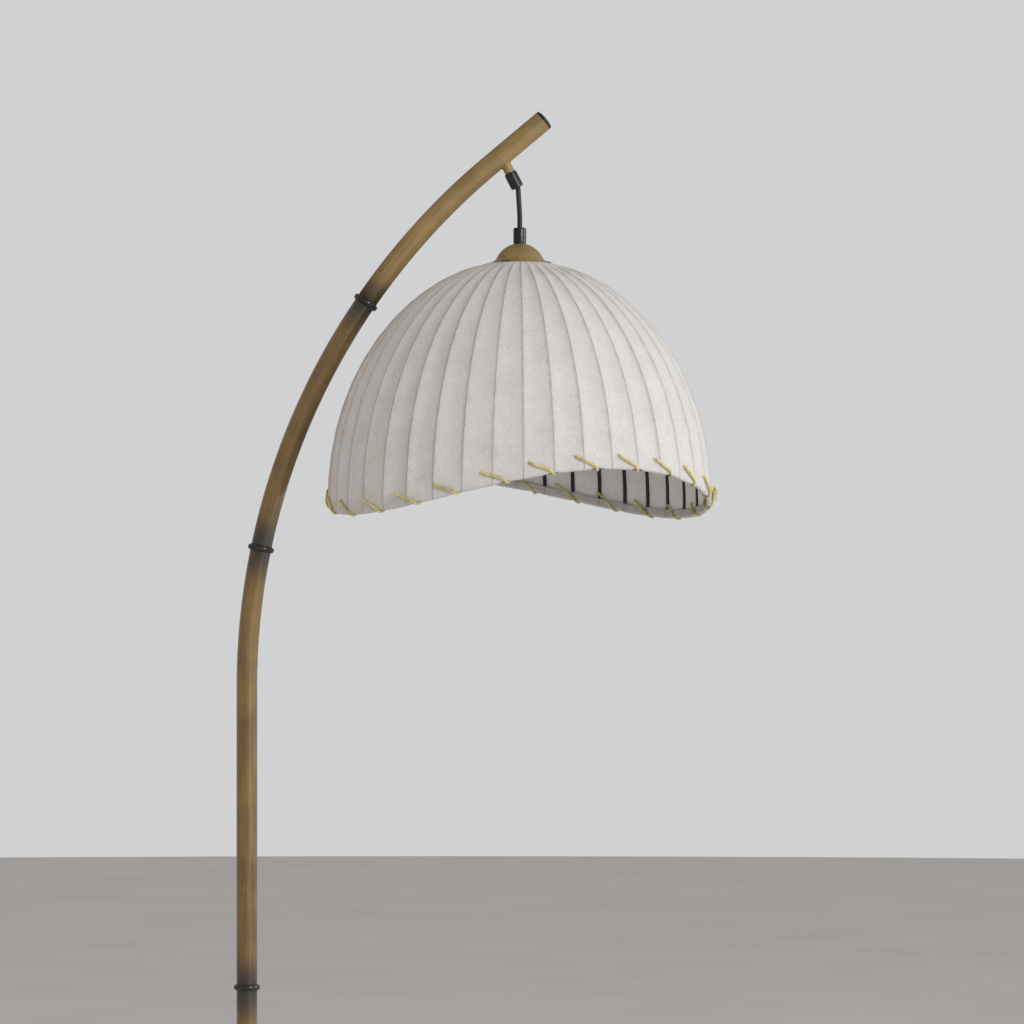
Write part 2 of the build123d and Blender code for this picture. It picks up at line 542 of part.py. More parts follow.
standing = {
    "base_cover": base_cover,
    "base_pad": base_pad,
    "base_weight": base_weight,
    "base_stud": base_stud,
    "base_washer": base_washer,
    "base_nut": base_nut,
    "foot_collar": foot_collar,
    "inlet_bush": inlet_bush,
    "foot_plug": foot_plug,
    "pole_foot_section": pole_foot_section,
    "pole_middle_section": pole_middle_section,
    "arm_lower_section": arm_lower_section,
    "arm_upper_section": arm_upper_section,
    "joint_plugs_below": group([place * Pos(0, 0, -PLUG_LENGTH) * joint_plug for place in joints]),
    "joint_plugs_above": group([place * joint_plug for place in joints]),
    "joint_studs": group([place * joint_stud for place in joints]),
    "foot_ring": along_pole(height=FOOT_RING_HEIGHT) * node_ring,
    "low_ring": joints[0] * node_ring,
    "middle_ring": joints[1] * node_ring,
    "high_ring": joints[2] * node_ring,
    "arm_end_cap": end_cap,
    "arm_stub": arm_stub,
    "stub_nipple": stub_nipple,
    "upper_cord_grip": upper_cord_grip,
    "upper_grip_screw": upper_grip_screw,
    "inner_lead": inner_lead,
}
hanging = {
    "pendant_cord": pendant_cord,
    "lower_cord_grip": lower_cord_grip,
    "lower_grip_screw": lower_grip_screw,
    "lower_nipple": lower_nipple,
    "shade_cap": shade_cap,
    "cap_locknut": locknut,
    "lampholder_cap": holder_cap,
    "lampholder_body": holder_body,
    "lampholder_insulator": holder_insulator,
    "lampholder_screw_shell": screw_shell,
    "lampholder_contact": centre_contact,
    "lampholder_lead": lampholder_lead,
    "shade_ring": shade_ring,
    "bulb_contact": bulb_contact,
    "bulb_cap": bulb_cap,
    "bulb_glass": bulb_glass,
    "bulb_led_post": led_post,
    "shade_fitter": shade_fitter,
    "shade_top_ring": shade_top_ring,
    "shade_ribs": group(ribs),
    "shade_hem_wire": hem_wire,
    "shade_fabric": shade_fabric,
    "hem_stitching": group(stitches),
}

os.makedirs("parts", exist_ok=True)
for name, piece in standing.items():
    export_step(piece, f"parts/{name}.step")
for name, piece in hanging.items():
    export_step(hang * piece, f"parts/{name}.step")

print("swing pivot", [round(v, 2) for v in pivot], "grip pivot height", round(cord_foot, 2))
print("lead volume", round(inner_lead.volume), "section x length", round(pi * cord_r**2 * lead_path.length))
print("lead radii", [lead_foot_bend, ARC_RADIUS, LEAD_TURN])
print("widest level", round(wide_level, 1), "top", round(top_level, 1), "hem mean", round(hem_mean, 1))
print("bulb seat", round(bulb_seat, 1), "glass foot", round(cap_low_end - BULB_LENGTH, 1))
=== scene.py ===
"""Looks of an arc floor lamp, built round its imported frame.

Metres throughout. +Z is up, +X is the way the arm reaches, and the base's underside is centred on
the origin. Each sub-assembly is a class that takes its places from the frame and its own sizes from
its fields; each finish is a small class that makes one material.
"""

import json
import logging
import math
from dataclasses import dataclass
from enum import Enum

import bpy
import numpy as np
from mathutils import Matrix, Vector


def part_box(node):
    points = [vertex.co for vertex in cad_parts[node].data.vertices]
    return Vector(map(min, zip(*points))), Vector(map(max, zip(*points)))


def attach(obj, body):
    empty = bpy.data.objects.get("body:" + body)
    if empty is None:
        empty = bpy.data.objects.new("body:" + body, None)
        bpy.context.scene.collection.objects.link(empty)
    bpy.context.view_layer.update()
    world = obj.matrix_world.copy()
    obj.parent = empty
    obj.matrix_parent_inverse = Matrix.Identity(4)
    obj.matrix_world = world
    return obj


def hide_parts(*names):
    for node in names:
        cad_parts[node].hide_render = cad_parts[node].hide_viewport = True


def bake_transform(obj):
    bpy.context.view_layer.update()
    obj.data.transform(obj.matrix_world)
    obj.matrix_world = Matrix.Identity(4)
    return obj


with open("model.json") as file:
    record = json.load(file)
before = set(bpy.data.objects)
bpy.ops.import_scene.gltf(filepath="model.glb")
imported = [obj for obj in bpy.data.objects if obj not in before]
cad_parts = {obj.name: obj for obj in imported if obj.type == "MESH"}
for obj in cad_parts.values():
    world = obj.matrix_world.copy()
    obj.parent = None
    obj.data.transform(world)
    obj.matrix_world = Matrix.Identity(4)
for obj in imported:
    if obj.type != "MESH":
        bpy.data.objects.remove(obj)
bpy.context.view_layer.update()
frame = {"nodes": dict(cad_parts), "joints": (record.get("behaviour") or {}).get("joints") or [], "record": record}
SEED = 7621
AXIS_HOLE = 0.0002  # radius of the pinhole that a turned form keeps on its axis

Colour = tuple[float, float, float]
Place = tuple[float, float, float]

log = logging.getLogger("arc_floor_lamp")


class Body(Enum):
    """Moving bodies of the lamp, as the frame names them."""

    STAND = "stand"
    CORD = "cord"
    CORD_END = "cord_end"
    PENDANT = "pendant"


# ---------------------------------------------------------------------------------------------
# Node graphs and finishes
# ---------------------------------------------------------------------------------------------


class Graph:
    """Node tree of one material, with short calls that add a node and join it."""

    def __init__(self, name: str) -> None:
        """Start an empty material.

        Args:
            name: Name of the material.
        """
        self.material = bpy.data.materials.new(name)
        self.material.use_nodes = True
        self.tree = self.material.node_tree
        self.tree.nodes.clear()

    def add(self, kind: str, inputs: dict | None = None, out: int | str = 0, **settings: object) -> object:
        """Add a node.

        Args:
            kind: Type name of the node, after "ShaderNode".
            inputs: Values or sockets for its inputs, by name or number.
            out: Output to return, by name or number.
            **settings: Properties of the node itself.

        Returns:
            The chosen output socket.
        """
        node = self.tree.nodes.new("ShaderNode" + kind)
        for key, value in settings.items():
            setattr(node, key, value)
        for key, value in (inputs or {}).items():
            if isinstance(value, bpy.types.NodeSocket):
                self.tree.links.new(value, node.inputs[key])
            else:
                node.inputs[key].default_value = value
        return node.outputs[out]

    def math(self, operation: str, a: object, b: object = 0.0) -> object:
        """Add a Math node and return its result."""
        return self.add("Math", {0: a, 1: b}, operation=operation)

    def vector(self, operation: str, a: object, b: object, out: str = "Vector") -> object:
        """Add a Vector Math node and return one of its results."""
        return self.add("VectorMath", {0: a, 1: b}, out=out, operation=operation)

    def place(self) -> object:
        """Return the point on the surface in the piece's own frame."""
        return self.add("TexCoord", out="Object")

    def attribute(self, name: str, out: str = "Vector") -> object:
        """Return an attribute stored on the mesh."""
        return self.add("Attribute", out=out, attribute_name=name)

    def noise(
        self, where: object, scale: float, detail: float = 3.0, stretch: Place = (1.0, 1.0, 1.0)
    ) -> object:
        """Add noise.

        Args:
            where: Vector socket to read it at.
            scale: Features per metre.
            detail: Octaves.
            stretch: Factors on the three axes, small ones drawing the noise out.

        Returns:
            The noise, near 0 to 1.
        """
        inputs = {
            "Vector": self.vector("MULTIPLY", where, stretch),
            "Scale": scale,
            "Detail": detail,
            "Roughness": 0.55,
        }
        return self.add("TexNoise", inputs)

    def span(
        self, value: object, low: float, high: float, to_low: float = 0.0, to_high: float = 1.0
    ) -> object:
        """Map a value smoothly from one span to another, clamped at both ends.

        Args:
            value: Socket to map.
            low: Value that becomes to_low.
            high: Value that becomes to_high.
            to_low: Result at and below low.
            to_high: Result at and above high.

        Returns:
            The mapped value.
        """
        inputs = {"Value": value, "From Min": low, "From Max": high, "To Min": to_low, "To Max": to_high}
        return self.add("MapRange", inputs, interpolation_type="SMOOTHSTEP")

    def weigh(self, a: object, b: object, share: float) -> object:
        """Add two values, the first weighted by a share and the second by the rest."""
        return self.math("ADD", self.math("MULTIPLY", a, share), self.math("MULTIPLY", b, 1.0 - share))

    def separate(self, vector: object) -> tuple[object, object]:
        """Return a vector's X and Y."""
        node = self.tree.nodes.new("ShaderNodeSeparateXYZ")
        self.tree.links.new(vector, node.inputs[0])
        return node.outputs[0], node.outputs[1]

    def mix(self, share: object, a: object, b: object) -> object:
        """Mix two colours.

        Args:
            share: 0 gives a and 1 gives b.
            a: Colour socket or plain colour.
            b: Colour socket or plain colour.

        Returns:
            The mixed colour.
        """
        node = self.tree.nodes.new("ShaderNodeMix")
        node.data_type = "RGBA"
        for number, value in ((0, share), (6, a), (7, b)):
            if isinstance(value, bpy.types.NodeSocket):
                self.tree.links.new(value, node.inputs[number])
            else:
                node.inputs[number].default_value = value if number == 0 else (*value, 1.0)
        return node.outputs[2]

    def bump(self, height: object, depth: float, under: object | None = None) -> object:
        """Turn a height of 0 to 1 into a bumped normal.

        Args:
            height: Height socket.
            depth: Height of 1, in metres.
            under: Normal that this bump lies on.

        Returns:
            The normal.
        """
        inputs = {"Height": height, "Distance": depth, "Strength": 1.0}
        if under is not None:
            inputs["Normal"] = under
        return self.add("Bump", inputs)

    def surface(self, inputs: dict, see_through: tuple[float, object] | None = None) -> bpy.types.Material:
        """Close the graph with a Principled shader.

        Args:
            inputs: Inputs of the Principled shader.
            see_through: Share and colour of light that passes to the far side of thin cloth.

        Returns:
            The finished material.
        """
        shader = self.add("BsdfPrincipled", inputs, out="BSDF")
        if see_through is not None:
            far = self.add("BsdfTranslucent", {"Color": see_through[1]}, out="BSDF")
            shader = self.add("MixShader", {0: see_through[0], 1: shader, 2: far})
        output = self.tree.nodes.new("ShaderNodeOutputMaterial")
        self.tree.links.new(shader, output.inputs["Surface"])
        return self.material


@dataclass(frozen=True)
class Finish:
    """A mottled, finely grained surface: plastics, plated metal, stone, felt and glass."""

    name: str
    dark: Colour
    light: Colour
    rough: tuple[float, float] = (0.35, 0.5)
    metallic: float = 0.0
    mottle: float = 60.0
    grain: float = 900.0
    grain_depth: float = 0.00002
    stretch: Place = (1.0, 1.0, 1.0)
    coat: float = 0.0
    sheen: float = 0.0
    subsurface: float = 0.0

    def material(self) -> bpy.types.Material:
        """Make the material.

        Returns:
            The material, with its colour, gloss and grain from noise.
        """
        graph = Graph(self.name)
        where = graph.place()
        broad = graph.noise(where, self.mottle, 4.0)
        fine = graph.noise(where, self.grain, 2.0, self.stretch)
        colour = graph.mix(graph.span(broad, 0.3, 0.7), self.dark, self.light)
        gloss = graph.span(fine, 0.3, 0.7, *self.rough)
        inputs = {
            "Base Color": colour,
            "Roughness": gloss,
            "Metallic": self.metallic,
            "Coat Weight": self.coat,
            "Coat Roughness": 0.12,
            "Sheen Weight": self.sheen,
            "Subsurface Weight": self.subsurface,
            "Subsurface Scale": 0.004,
            "Normal": graph.bump(fine, self.grain_depth),
        }
        return graph.surface(inputs)


@dataclass(frozen=True)
class BronzePaint:
    """Gold-brown metal paint, brushed along the tube and burnt dark round each node ring."""

    name: str
    rings: tuple[Place, ...]
    gold: Colour = (0.208, 0.125, 0.030)
    brown: Colour = (0.122, 0.070, 0.018)
    burnt: Colour = (0.013, 0.009, 0.007)
    rough: tuple[float, float] = (0.34, 0.46)
    metallic: float = 0.15
    coat: float = 0.9
    coat_rough: float = 0.06
    fade: tuple[float, float] = (0.006, 0.052)
    ragged: float = 0.020
    grain_depth: float = 0.000008

    def nearest_ring(self, graph: Graph, where: object) -> object:
        """Distance from a point to the nearest node ring's centre.

        Args:
            graph: Graph to add to.
            where: Point socket.

        Returns:
            The distance in metres.
        """
        nearest = None
        for ring in self.rings:
            away = graph.vector("DISTANCE", where, ring, out="Value")
            nearest = away if nearest is None else graph.math("MINIMUM", nearest, away)
        return nearest

    def material(self) -> bpy.types.Material:
        """Make the material.

        Returns:
            The paint, with streaks, a hand-sprayed dark fade at the rings and a fine skin.
        """
        graph = Graph(self.name)
        where = graph.place()
        skin = graph.attribute("skin")
        broad = graph.noise(where, 18.0, 3.0)
        streak = graph.noise(skin, 260.0, 3.0, (1.0, 1.0, 0.05))
        fine = graph.noise(where, 1500.0, 2.0)
        tone = graph.weigh(broad, streak, 0.6)
        colour = graph.mix(graph.span(tone, 0.36, 0.62), self.brown, self.gold)
        # the fade's edge wanders by its raggedness, half of it each way
        ragged = graph.math("MULTIPLY", graph.noise(where, 55.0, 4.0), self.ragged)
        away = graph.math("ADD", self.nearest_ring(graph, where), ragged)
        away = graph.math("SUBTRACT", away, self.ragged / 2)
        colour = graph.mix(graph.span(away, *self.fade), self.burnt, colour)
        grain = graph.math("ADD", graph.math("MULTIPLY", fine, 0.7), graph.math("MULTIPLY", streak, 0.5))
        inputs = {
            "Base Color": colour,
            "Roughness": graph.span(streak, 0.3, 0.7, *self.rough),
            "Metallic": self.metallic,
            "Coat Weight": self.coat,
            "Coat Roughness": self.coat_rough,
            "Normal": graph.bump(grain, self.grain_depth),
        }
        return graph.surface(inputs)


@dataclass(frozen=True)
class LinenCloth:
    """Off-white crepe linen, cut in gores: slubbed weave along each gore and a fine seam between two, its dark
    line partly painted shade of the rib behind the cloth.
    """

    name: str
    axis: Place
    gores: int
    first_seam: float
    pale: Colour = (0.850, 0.836, 0.822)
    shade: Colour = (0.715, 0.692, 0.672)
    # seam colour: partly the seam itself, partly painted shade of the dark rib behind the cloth
    seam: Colour = (0.590, 0.555, 0.520)
    seam_width: float = 0.0008
    thread: float = 1100.0
    slub: float = 520.0
    weave_depth: float = 0.00026
    pucker_width: tuple[float, float] = (0.0004, 0.0028)
    pucker_depth: float = 0.00035
    through: float = 0.40

    def across(self, graph: Graph) -> tuple[object, object]:
        """Work out where a point lies in its gore.

        Args:
            graph: Graph to add to.

        Returns:
            Distance across from the gore's middle and distance from its nearer seam, in metres.
        """
        east, north = graph.separate(graph.vector("SUBTRACT", graph.place(), self.axis))
        turn = graph.math("ARCTAN2", east, graph.math("MULTIPLY", north, -1.0))
        pitch = math.tau / self.gores
        count = graph.math("DIVIDE", graph.math("SUBTRACT", turn, math.radians(self.first_seam)), pitch)
        part = graph.math("FRACT", count)
        squares = graph.math("ADD", graph.math("MULTIPLY", east, east), graph.math("MULTIPLY", north, north))
        width = graph.math("MULTIPLY", graph.math("SQRT", squares), pitch)
        from_middle = graph.math("SUBTRACT", part, 0.5)
        middle = graph.math("MULTIPLY", from_middle, width)
        edge = graph.math("SUBTRACT", 0.5, graph.math("ABSOLUTE", from_middle))
        return middle, graph.math("MULTIPLY", edge, width)

    def material(self) -> bpy.types.Material:
        """Make the material.

        Returns:
            The cloth, with weave, slubs, mottling, puckered seams, a soft sheen and light through it.
        """
        graph = Graph(self.name)
        middle, edge = self.across(graph)
        down = graph.attribute("down", out="Fac")
        cut = graph.add("CombineXYZ", {0: middle, 1: down})
        where = graph.place()
        warp = graph.noise(cut, self.thread, 2.0, (1.0, 0.09, 1.0))
        weft = graph.noise(cut, self.thread, 2.0, (0.09, 1.0, 1.0))
        slubs = graph.noise(where, self.slub, 4.0, (1.0, 1.0, 0.55))
        mottle = graph.noise(where, 34.0, 3.0)
        height = graph.weigh(graph.weigh(warp, weft, 0.5), slubs, 0.45)
        tone = graph.weigh(height, mottle, 0.8)
        cloth = graph.mix(graph.span(tone, 0.34, 0.60), self.shade, self.pale)
        pucker = graph.noise(where, 190.0, 2.0)
        wander = graph.math("MULTIPLY", graph.math("SUBTRACT", pucker, 0.5), 2 * self.seam_width)
        ragged = graph.math("ADD", edge, wander)
        # the line along each seam takes the seam colour, partly painted shade of the rib behind the cloth
        on_cloth = graph.span(ragged, self.seam_width * 0.3, self.seam_width * 1.5)
        colour = graph.mix(on_cloth, self.seam, cloth)
        beside_seam = graph.math("SUBTRACT", 1.0, graph.span(edge, *self.pucker_width))
        raised = graph.math("MULTIPLY", beside_seam, pucker)
        normal = graph.bump(raised, self.pucker_depth, graph.bump(height, self.weave_depth))
        inputs = {
            "Base Color": colour,
            "Roughness": 0.92,
            "Specular IOR Level": 0.25,
            "Sheen Weight": 0.18,
            "Sheen Roughness": 0.5,
            "Normal": normal,
        }
        return graph.surface(inputs, (self.through, colour))


@dataclass(frozen=True)
class WaxedThread:
    """Olive-yellow two-ply lacing thread with fibres that follow the twist."""

    name: str
    dye_and_fibre_shade: Colour = (0.330, 0.265, 0.055)
    bright: Colour = (0.760, 0.700, 0.270)

    def material(self) -> bpy.types.Material:
        """Make the material.

        Returns:
            The thread, with painted shade between its fibres and a dye tone that varies at random.
        """
        graph = Graph(self.name)
        skin = graph.attribute("skin")
        fibres = graph.noise(skin, 2600.0, 3.0, (1.0, 1.0, 0.12))
        dye = graph.noise(graph.place(), 90.0, 3.0)
        # the darker end of the thread's colour is partly its dye and partly painted shade between the fibres
        tone = graph.weigh(fibres, dye, 0.6)
        inputs = {
            "Base Color": graph.mix(graph.span(tone, 0.34, 0.64), self.dye_and_fibre_shade, self.bright),
            "Roughness": graph.span(fibres, 0.3, 0.7, 0.55, 0.8),
            "Sheen Weight": 0.3,
            "Normal": graph.bump(fibres, 0.00018),
        }
        return graph.surface(inputs)


# ---------------------------------------------------------------------------------------------
# Mesh making
# ---------------------------------------------------------------------------------------------


def mesh_piece(
    name: str,
    points: np.ndarray,
    faces: list,
    finish: bpy.types.Material,
    skin: np.ndarray | None = None,
    sharp: float = 40.0,
) -> bpy.types.Object:
    """Make a smooth-shaded mesh object.

    Args:
        name: Piece name.
        points: Vertex places, one row each.
        faces: Vertex numbers of each face.
        finish: Material.
        skin: Vector per vertex for the finish's streaks, or None.
        sharp: Edges that turn more than this many degrees stay sharp.

    Returns:
        The new object.
    """
    mesh = bpy.data.meshes.new(name)
    mesh.from_pydata([tuple(p) for p in points], [], faces)
    mesh.materials.append(finish)
    if skin is not None:
        store = mesh.attributes.new("skin", "FLOAT_VECTOR", "POINT")
        store.data.foreach_set("vector", np.asarray(skin, np.float32).ravel())
    mesh.shade_smooth()
    mesh.set_sharp_from_angle(angle=math.radians(sharp))
    piece = bpy.data.objects.new(name, mesh)
    bpy.context.scene.collection.objects.link(piece)
    return piece


def grid_faces(rows: int, columns: int, close_rows: bool = False, inward: bool = False) -> list:
    """Quads of a grid of points whose columns run all the way round.

    Args:
        rows: Number of rows.
        columns: Points in each row.
        close_rows: Whether the last row joins the first.
        inward: Whether to turn the faces over.

    Returns:
        The faces.
    """
    faces = []
    for i in range(rows if close_rows else rows - 1):
        a, b = i * columns, ((i + 1) % rows) * columns
        for j in range(columns):
            k = (j + 1) % columns
            faces.append((a + k, a + j, b + j, b + k) if inward else (a + j, a + k, b + k, b + j))
    return faces


def lathe(outline: list, sides: int, place: Matrix) -> tuple[np.ndarray, list, np.ndarray]:
    """Turn a closed outline about the Z axis.

    Args:
        outline: (radius, height) points, in order round the outline, none on the axis.
        sides: Steps round the axis.
        place: Where the turned form goes.

    Returns:
        Vertices, faces and skin coordinates.
    """
    turn = np.linspace(0.0, math.tau, sides, endpoint=False)
    points = []
    skin = []
    for radius, height in outline:
        for angle in turn:
            local = (radius * math.cos(angle), radius * math.sin(angle), height)
            points.append(place @ Vector(local))
            skin.append(local)
    return np.array(points), grid_faces(len(outline), sides, close_rows=True), np.array(skin)


def rounded(corners: list, steps: int = 5) -> list:
    """Round the corners of a closed outline with arcs.

    Args:
        corners: (radius, height, rounding) of each corner, in order; a rounding of 0 stays sharp.
        steps: Points on each rounded corner.

    Returns:
        (radius, height) points.
    """
    result = []
    count = len(corners)
    for i, (x, y, rounding) in enumerate(corners):
        here = np.array((x, y))
        if rounding <= 0:
            result.append((x, y))
            continue
        back = np.array(corners[i - 1][:2]) - here
        ahead = np.array(corners[(i + 1) % count][:2]) - here
        back_unit, ahead_unit = back / np.linalg.norm(back), ahead / np.linalg.norm(ahead)
        half = math.acos(float(np.clip(back_unit @ ahead_unit, -1, 1))) / 2
        cut = min(rounding / math.tan(half), 0.49 * np.linalg.norm(back), 0.49 * np.linalg.norm(ahead))
        start, end = here + back_unit * cut, here + ahead_unit * cut
        for t in np.linspace(0, 1, steps):
            result.append(tuple((1 - t) ** 2 * start + 2 * t * (1 - t) * here + t**2 * end))
    return result


def line_lengths(points: np.ndarray) -> np.ndarray:
    """Return the length along a line of points as far as each of them."""
    steps = np.linalg.norm(np.diff(points, axis=0), axis=1)
    return np.concatenate([[0.0], np.cumsum(steps)])


def carried_frames(points: np.ndarray) -> tuple[np.ndarray, np.ndarray, np.ndarray]:
    """Directions along a line of points, turned as little as possible from one to the next.

    Args:
        points: The line's points.

    Returns:
        Tangent, side and second side at each point.
    """
    tangent = np.gradient(points, axis=0)
    tangent /= np.linalg.norm(tangent, axis=1)[:, None]
    start = np.cross(tangent[0], (0.0, 1.0, 0.0) if abs(tangent[0][1]) < 0.9 else (1.0, 0.0, 0.0))
    side = [start / np.linalg.norm(start)]
    for t in tangent[1:]:
        moved = side[-1] - t * (side[-1] @ t)
        side.append(moved / np.linalg.norm(moved))
    side = np.array(side)
    return tangent, side, np.cross(tangent, side)


def sweep(
    points: np.ndarray, radius: float | np.ndarray, sides: int = 16
) -> tuple[np.ndarray, list, np.ndarray]:
    """Round bar along a line of points, with domed ends.

    Args:
        points: The line's points.
        radius: Its radius, or one radius for each point.
        sides: Steps round it.

    Returns:
        Vertices, faces and skin coordinates.
    """
    tangent, side, other = carried_frames(points)
    radii = np.broadcast_to(np.asarray(radius, float), len(points))
    run = line_lengths(points)
    turn = np.linspace(0.0, math.tau, sides, endpoint=False)
    # (point's number, angle up the end's dome) of each ring: a dome, the bar and a dome the other way
    domes = np.radians((80.0, 55.0, 28.0))
    last_point = len(points) - 1
    rings = [(0, -angle) for angle in domes]
    rings += [(i, 0.0) for i in range(len(points))]
    rings += [(last_point, angle) for angle in domes[::-1]]
    verts, skin = [], []
    for i, dome in rings:
        rise = radii[i] * math.sin(dome)
        centre = points[i] + tangent[i] * rise
        for angle in turn:
            way = math.cos(angle) * side[i] + math.sin(angle) * other[i]
            verts.append(centre + radii[i] * math.cos(dome) * way)
            skin.append((radii[i] * math.cos(angle), radii[i] * math.sin(angle), run[i] + rise))
    faces = grid_faces(len(rings), sides)
    last = (len(rings) - 1) * sides
    faces.append(tuple(range(sides))[::-1])
    faces.append(tuple(last + j for j in range(sides)))
    return np.array(verts), faces, np.array(skin)


def smooth_line(knots: np.ndarray, per_span: int, closed: bool) -> np.ndarray:
    """Smooth curve through points, by the Catmull-Rom rule.

    Args:
        knots: Points it passes through.
        per_span: New points for each span.
        closed: Whether the last point leads back to the first.

    Returns:
        Points of the curve.
    """
    count = len(knots)
    spans = count if closed else count - 1
    result = []
    for i in range(spans):
        take = [(i + k - 1) % count if closed else min(max(i + k - 1, 0), count - 1) for k in range(4)]
        p0, p1, p2, p3 = (knots[n] for n in take)
        square = 2 * p0 - 5 * p1 + 4 * p2 - p3
        cube = 3 * p1 - p0 - 3 * p2 + p3
        for t in np.arange(per_span) / per_span:
            result.append(0.5 * (2 * p1 + (p2 - p0) * t + square * t**2 + cube * t**3))
    if not closed:
        result.append(knots[-1])
    return np.array(result)


def smooth_step(value: np.ndarray | float) -> np.ndarray:
    """Ease a share from 0 to 1."""
    share = np.clip(value, 0.0, 1.0)
    return share * share * (3 - 2 * share)


def join_parts(name: str, parts: list, finish: bpy.types.Material) -> bpy.types.Object:
    """Put several meshes into one piece.

    Args:
        name: Piece name.
        parts: (vertices, faces, skin) of each mesh.
        finish: Material.

    Returns:
        The piece.
    """
    verts, faces, skin, count = [], [], [], 0
    for part_verts, part_faces, part_skin in parts:
        verts.append(part_verts)
        skin.append(part_skin)
        faces += [tuple(count + n for n in face) for face in part_faces]
        count += len(part_verts)
    return mesh_piece(name, np.concatenate(verts), faces, finish, np.concatenate(skin))


def bake_modifiers(piece: bpy.types.Object) -> None:
    """Apply every modifier of a piece to its mesh."""
    bpy.context.view_layer.update()
    depsgraph = bpy.context.evaluated_depsgraph_get()
    made = bpy.data.meshes.new_from_object(piece.evaluated_get(depsgraph), depsgraph=depsgraph)
    old = piece.data
    piece.modifiers.clear()
    piece.data = made
    bpy.data.meshes.remove(old)


# ---------------------------------------------------------------------------------------------
# Sub-assemblies
# ---------------------------------------------------------------------------------------------


@dataclass
class PoleLine:
    """The pole's centreline, a post, one bend and a straight tip, and the places of its joints."""

    straight: float = 1.011
    bend_radius: float = 0.815
    bend_angle: float = 50.0
    tip_length: float = 0.0835
    joint_leans: tuple[float, float] = (11.7, 34.4)

    def __post_init__(self) -> None:
        """Take the foot section's ends and the foot ring's place from the frame."""
        low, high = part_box("pole_foot_section")
        self.foot = low.z
        self.low_joint = high.z
        ring_low, ring_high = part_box("foot_ring")
        self.foot_ring = (ring_low.z + ring_high.z) / 2

    def at(self, run: float) -> Matrix:
        """Place on the centreline.

        Args:
            run: Distance along the pole from the floor.

        Returns:
            A matrix whose Z axis runs along the tube and whose X axis points to the inside of the bend.
        """
        past = run - self.straight
        lean = min(max(past / self.bend_radius, 0.0), math.radians(self.bend_angle))
        x = self.bend_radius * (1 - math.cos(lean))
        z = min(run, self.straight) + self.bend_radius * math.sin(lean)
        beyond = max(past - self.bend_radius * math.radians(self.bend_angle), 0.0)
        place = Vector((x + beyond * math.sin(lean), 0.0, z + beyond * math.cos(lean)))
        return Matrix.Translation(place) @ Matrix.Rotation(lean, 4, "Y")

    def run_of(self, lean: float) -> float:
        """Return the distance along the pole of a lean in degrees."""
        return self.straight + self.bend_radius * math.radians(lean)

    def tip_run(self, beyond: float) -> float:
        """Return the distance along the pole of a place on the straight tip, beyond the bend."""
        return self.run_of(self.bend_angle) + beyond

    def joint_runs(self) -> list[float]:
        """Return how far along the pole its three joints are."""
        return [self.low_joint, *(self.run_of(lean) for lean in self.joint_leans)]

    def ring_runs(self) -> list[float]:
        """Return how far along the pole its four node rings are."""
        return [self.foot_ring, *self.joint_runs()]

    def ring_centres(self) -> tuple[Place, ...]:
        """Return the centres of the four node rings."""
        return tuple(tuple(self.at(run).translation) for run in self.ring_runs())


